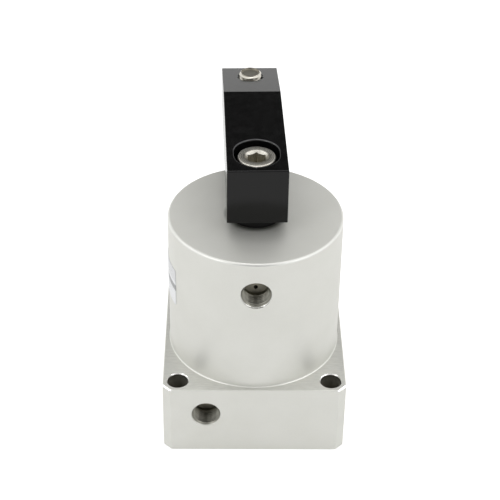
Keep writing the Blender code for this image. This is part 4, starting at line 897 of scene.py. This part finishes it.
# Inside the ports and the bolt holes the colour is painted shade that changes with depth.
mouth = anodised.blend(anodised.spread(depth, 0, 1, 0.6, 3.0), (0.27, 0.265, 0.23), (0.52, 0.51, 0.45))
painted_hole_shade = anodised.blend(anodised.spread(depth, 0, 1, 3.0, 7.4), mouth, (0.30, 0.285, 0.23))
inside = anodised.spread(depth, 0, 1, 0.05, 0.4)
sheen = anodised.spread(grain, 0.52, 0.58)
for mask, smoothness in ((edge, 0.26), (inside, 0.36)):
    sheen = anodised.add("Mix", i0=mask, i2=sheen, i3=smoothness).outputs[0]
anodised.drive("Base Color", anodised.blend(inside, outside, painted_hole_shade))
anodised.drive("Roughness", sheen)
anodised.drive("Normal", anodised.bump(dimples, 0.004 * MM, anodised.bump(grain, 0.006 * MM)))
tell(anodised)

# %% [markdown]
# ### Black oxide
#
# The arm's faces were ground along its length before blackening, so fine lines run that way. The oxide is
# thin and dark and keeps the sheen of the steel below it. The rear of the counterbore's rim gets a paler,
# more metallic colour: a painted highlight.

# %% Black oxide finish
black = Finish("black oxide", (0.004, 0.004, 0.0042), 0.0, 0.17)
lines = black.noise(1.0, 4, black.stretched((5200, 260, 5200)))
mottle = black.noise(420, 5)
# A paler, metallic colour paints a highlight on the rear of the counterbore's rim.
rim_highlight_share = black.kept("rim_highlight")
oxide = black.blend(black.spread(mottle, 0, 1), 0.003, (0.005, 0.005, 0.0052))
black.drive("Base Color", black.blend(rim_highlight_share, oxide, (0.09, 0.09, 0.093)))
black.drive("Metallic", black.spread(rim_highlight_share, 0, 0.6, 0, 1))
black.drive("Roughness", black.spread(mottle, 0.14, 0.20))
black.drive("Normal", black.bump(lines, 0.0012 * MM, black.bump(mottle, 0.0015 * MM)))
black.drive("IOR", 1.39)
tell(black)

# %% [markdown]
# ### Steels
#
# The bolt and the nut are barrelled bright and slightly warm in tone. The rod's chrome is ground round
# its axis, so its lines are long across the rod and fine along it, and so are those of the hidden ground
# parts. The snap ring is phosphated, which leaves it dark and crystalline.

# %% Steel finishes
# A dark brown tone: painted shade in the screw's socket and in the bolt's end cup.
PAINTED_SHADE_TONE = (0.17, 0.155, 0.115)
stainless = Finish("stainless steel", (0.72, 0.69, 0.62), 1.0, 0.36)
scuffs = stainless.grainy(stainless.noise(2400, 4), 0.30, 0.42, 0.0012 * MM)
clean = stainless.blend(stainless.spread(scuffs, 0, 1), (0.72, 0.69, 0.62), (0.86, 0.83, 0.75))
# Painted shade in the bolt's end cup.
stainless.drive("Base Color", stainless.blend(stainless.kept("painted_shade"), clean, PAINTED_SHADE_TONE))

chrome = Finish("hard chrome", (0.64, 0.65, 0.67), 1.0, 0.10)
chrome.grainy(chrome.noise(1.0, 3, chrome.stretched((60, 60, 5200))), 0.07, 0.15, 0.0015 * MM)

ground = Finish("ground steel", (0.42, 0.42, 0.43), 1.0, 0.30)
ground.grainy(ground.noise(1.0, 4, ground.stretched((300, 300, 4200))), 0.24, 0.38, 0.004 * MM)

phosphated = Finish("phosphated spring steel", (0.045, 0.045, 0.048), 0.5, 0.45)
phosphated.grainy(phosphated.noise(3800, 5), 0.38, 0.55, 0.008 * MM)
tell(stainless, chrome, ground, phosphated)

# %% [markdown]
# ### Turned faces and soft parts
#
# A facing tool leaves rings, and these are a wave of the distance from the axis. The socket screw and the
# cover have them, and the screw's head is mottled by handling and has painted shade in its socket. Bronze,
# rubber, urethane and acetal get a grain that varies their sheen.

# %% Turned metals and soft parts


def lathe_marks(finish, spacing, depth):
    """Concentric tool marks on a face turned about Z."""
    wave = finish.add("TexWave", Vector=finish.coordinates, wave_type="RINGS", rings_direction="Z",
                      Scale=1 / (spacing * 20), Distortion=0.6, Detail=2)
    finish.drive("Normal", finish.bump(wave.outputs[1], depth))
    return wave.outputs[1]


turned_steel = Finish("turned stainless steel", (0.72, 0.69, 0.62), 1.0, 0.34)
lathe = lathe_marks(turned_steel, 0.09 * MM, 0.004 * MM)
handling = turned_steel.spread(turned_steel.noise(1700, 5), 0, 1)
handled = turned_steel.blend(handling, (0.62, 0.60, 0.54), (0.96, 0.93, 0.85))
# Painted shade in the socket darkens the handled steel.
turned_steel.drive("Base Color", turned_steel.blend(turned_steel.kept("painted_shade"), handled, PAINTED_SHADE_TONE))
turned_steel.drive("Roughness", turned_steel.spread(lathe, 0.26, 0.36, 0, 1))

turned_metal = Finish("turned aluminium", 0.66, 1.0, 0.30)
lathe = lathe_marks(turned_metal, 0.25 * MM, 0.006 * MM)
turned_metal.drive("Roughness", turned_metal.spread(lathe, 0.24, 0.36, 0, 1))

bronze = Finish("sintered bronze", (0.50, 0.33, 0.16), 1.0, 0.40)
bronze.grainy(bronze.noise(4200, 4), 0.34, 0.5, 0.01 * MM)

rubber = Finish("nitrile rubber", 0.006, 0.0, 0.55)
bloom = rubber.grainy(rubber.noise(2600, 5), 0.48, 0.64, 0.006 * MM)
rubber.drive("Base Color", rubber.blend(rubber.spread(bloom, 0, 1), 0.004, 0.008))
rubber.drive("Specular IOR Level", 0.25)

urethane = Finish("bumper urethane", (0.70, 0.45, 0.16), 0.0, 0.5)
urethane.grainy(urethane.noise(1800, 4), 0.42, 0.58, 0.008 * MM)

acetal = Finish("wear ring plastic", (0.75, 0.73, 0.66), 0.0, 0.45)
acetal.grainy(acetal.noise(1400, 4), 0.38, 0.52, 0.005 * MM)
tell(turned_steel, turned_metal, bronze, rubber, urethane, acetal)

# %% [markdown]
# ### The label's film
#
# The film is silver-white. A grey band with a bright band above it runs round its upper half, and the
# rest is left blank. The bands depend only on height, so they come from the Z of the Object coordinates.

# %% Label finish
LABEL_BANDS = ((0.0, 0.86), (0.42, 0.45), (0.58, 0.90), (0.66, 0.73))  # where a band starts, and its tone
film = Finish("label film", (0.80, 0.81, 0.83), 0.0, 0.32)
height = film.add("SeparateXYZ", Vector=film.coordinates).outputs["Z"]
bands = film.add("ValToRGB", Fac=film.spread(height, 0, 1, label_low.z, label_high.z))
bands.color_ramp.interpolation = "CONSTANT"
stops = bands.color_ramp.elements
for k, (start, tone) in enumerate(LABEL_BANDS):
    stop = stops[k] if k < 2 else stops.new(start)
    stop.position = start
    stop.color = (tone, tone * 1.01, tone * 1.03, 1)
film.drive("Base Color", bands.outputs["Color"])
film.grainy(film.noise(3000, 3), 0.26, 0.38, 0.003 * MM)
tell(film)

# %% Put the finishes on the pieces
PIECE_FINISH = {
    housing: anodised, arm: black, screw: turned_steel, bolt: stainless, nut: stainless, rod: chrome,
    scraper: rubber, cover: turned_metal, label: film,
}
NODE_FINISH = {
    "cover_snap_ring": phosphated, "cover_o_ring": rubber, "cover_dowel": ground, "guide_shaft": ground,
    "shaft_cross_pin": ground, "lower_bumper": urethane, "upper_bumper": urethane, "rod_bushing": bronze,
    "rod_seal": rubber, "piston": turned_metal, "piston_nut": ground, "piston_seal": rubber,
    "piston_wear_ring": acetal, "piston_o_ring": rubber, "guide_pin_a": ground, "guide_pin_b": ground,
}
dressed = [(piece.data, finish) for piece, finish in PIECE_FINISH.items()]
dressed += [(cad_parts[name].data, finish) for name, finish in NODE_FINISH.items()]
for mesh, finish in dressed:
    mesh.materials.clear()
    mesh.materials.append(finish.material)
print("finishes on", len(PIECE_FINISH), "new pieces and", len(NODE_FINISH), "CAD nodes")

# %% [markdown]
# ## Floor and light
#
# The clamp stands on a pale sheet in a light tent that is open at two places. The level faces reflect the
# gap high up behind the clamp: the arm's smooth top shows it almost black, and the barrel's rough top
# spreads it out and turns a little darker than its side. The camera looks in through the other gap, which
# the lower half of the arm's end face shows by way of the barrel's top. A lamp overhead draws bright
# lines on the round edges, two at the sides in front give the shadows their direction, and two low ones
# straight at the sides make the foot's corners glint.

# %% The floor
FLOOR_HALF = 3.0
FLOOR_GLOW = 0.45
floor_mesh = bpy.data.meshes.new("floor")
floor_corners = [(x * FLOOR_HALF, y * FLOOR_HALF, 0) for x, y in ((-1, -1), (1, -1), (1, 1), (-1, 1))]
floor_mesh.from_pydata(floor_corners, [], [(0, 1, 2, 3)])
floor = in_scene("floor", floor_mesh)
floor.location.z = -0.05 * MM
paper = Finish("floor paper", 0.90, 0.0, 0.9)
paper.drive("Specular IOR Level", 0.1)
paper.drive("Emission Color", 1)
path = paper.add("LightPath").outputs
seen = paper.add("Math", operation="MULTIPLY", i0=path["Is Camera Ray"], i1=FLOOR_GLOW).outputs[0]
# Further than 90 mm behind the clamp the floor glows, seen only in reflections: painted light.
floor_y = paper.add("SeparateXYZ", Vector=paper.coordinates).outputs["Y"]
behind = paper.spread(floor_y, 0.0, FLOOR_GLOW, 90 * MM, 150 * MM, "SMOOTHSTEP")
glow_for_camera_and_reflections = paper.add("Math", operation="MULTIPLY_ADD", i0=path["Is Glossy Ray"], i1=behind, i2=seen)
paper.drive("Emission Strength", glow_for_camera_and_reflections.outputs[0])
floor_mesh.materials.append(paper.material)
tell(paper)

# %% The surround
TENT = 0.86
world = bpy.data.worlds.new("light tent")
bpy.context.scene.world = world
world.use_nodes = True
world.node_tree.nodes.clear()
sky = Graph(world.node_tree)
direction = sky.add("TexCoord").outputs["Generated"]


def tent_patch(before, heading, rise, core, edge, level):
    """Multiplies the tent's light by a level inside a round patch of directions, with a soft edge.

    The patch's middle stands at an angle of rise above the horizon, behind the clamp (heading 1) or before
    it (-1). Core and edge are angles from that middle, and the dot product is the cosine of one.
    """
    rise, core, edge = math.radians(rise), math.radians(core), math.radians(edge)
    middle = (0, heading * math.cos(rise), math.sin(rise))
    nearness = sky.add("VectorMath", operation="DOT_PRODUCT", i0=direction, i1=middle).outputs["Value"]
    patch = sky.spread(nearness, 1.0, level, math.cos(edge), math.cos(core), "SMOOTHSTEP")
    return sky.add("Math", operation="MULTIPLY", i0=patch, i1=before).outputs[0]


rear_gap = tent_patch(TENT, 1, 32, 11, 18, 0.05)
front_gap = tent_patch(rear_gap, -1, 24, 18, 30, 0.06)
rear_sheet = tent_patch(front_gap, 1, 4, 6, 14, 1.3)
soft = sky.add("Background", Color=(1, 1, 0.99), Strength=rear_sheet)
white = sky.add("Background", Color=1)
for_camera = sky.add("LightPath").outputs["Is Camera Ray"]
surround = sky.add("MixShader", i0=for_camera, i1=soft.outputs[0], i2=white.outputs[0])
sky.add("OutputWorld", Surface=surround.outputs[0])
print("light tent:", len(sky.nodes), "nodes")

# %% The lamps
CLAMP_MIDDLE = (0, 0.01, 0.05)


def soft_lamp(name, location, size, power):
    """A square lamp that faces the middle of the clamp."""
    data = bpy.data.lights.new(name, "AREA")
    data.size = size
    data.energy = power
    lamp = in_scene(name, data)
    lamp.location = location
    lamp.rotation_mode = "QUATERNION"
    lamp.rotation_quaternion = (Vector(CLAMP_MIDDLE) - Vector(location)).to_track_quat("-Z", "Y")
    print(name, "at", location, "m, power", power, "W")


soft_lamp("top lamp", (0.0, 0.16, 1.0), 0.2, 0.5)
for kind, (x, y, z), size, power in (("lamp", (0.8, -0.6, 0.7), 0.35, 1.45),
                                     ("rim lamp", (0.9, 0.02, 0.48), 0.22, 0.45)):
    soft_lamp("left " + kind, (-x, y, z), size, power)
    soft_lamp("right " + kind, (x, y, z), size, power)

# %% [markdown]
# ## The last look
#
# The picture uses Blender's Standard view, so a colour comes out about as it is written.

# %% Set the view transform
bpy.context.scene.view_settings.view_transform = "Standard"
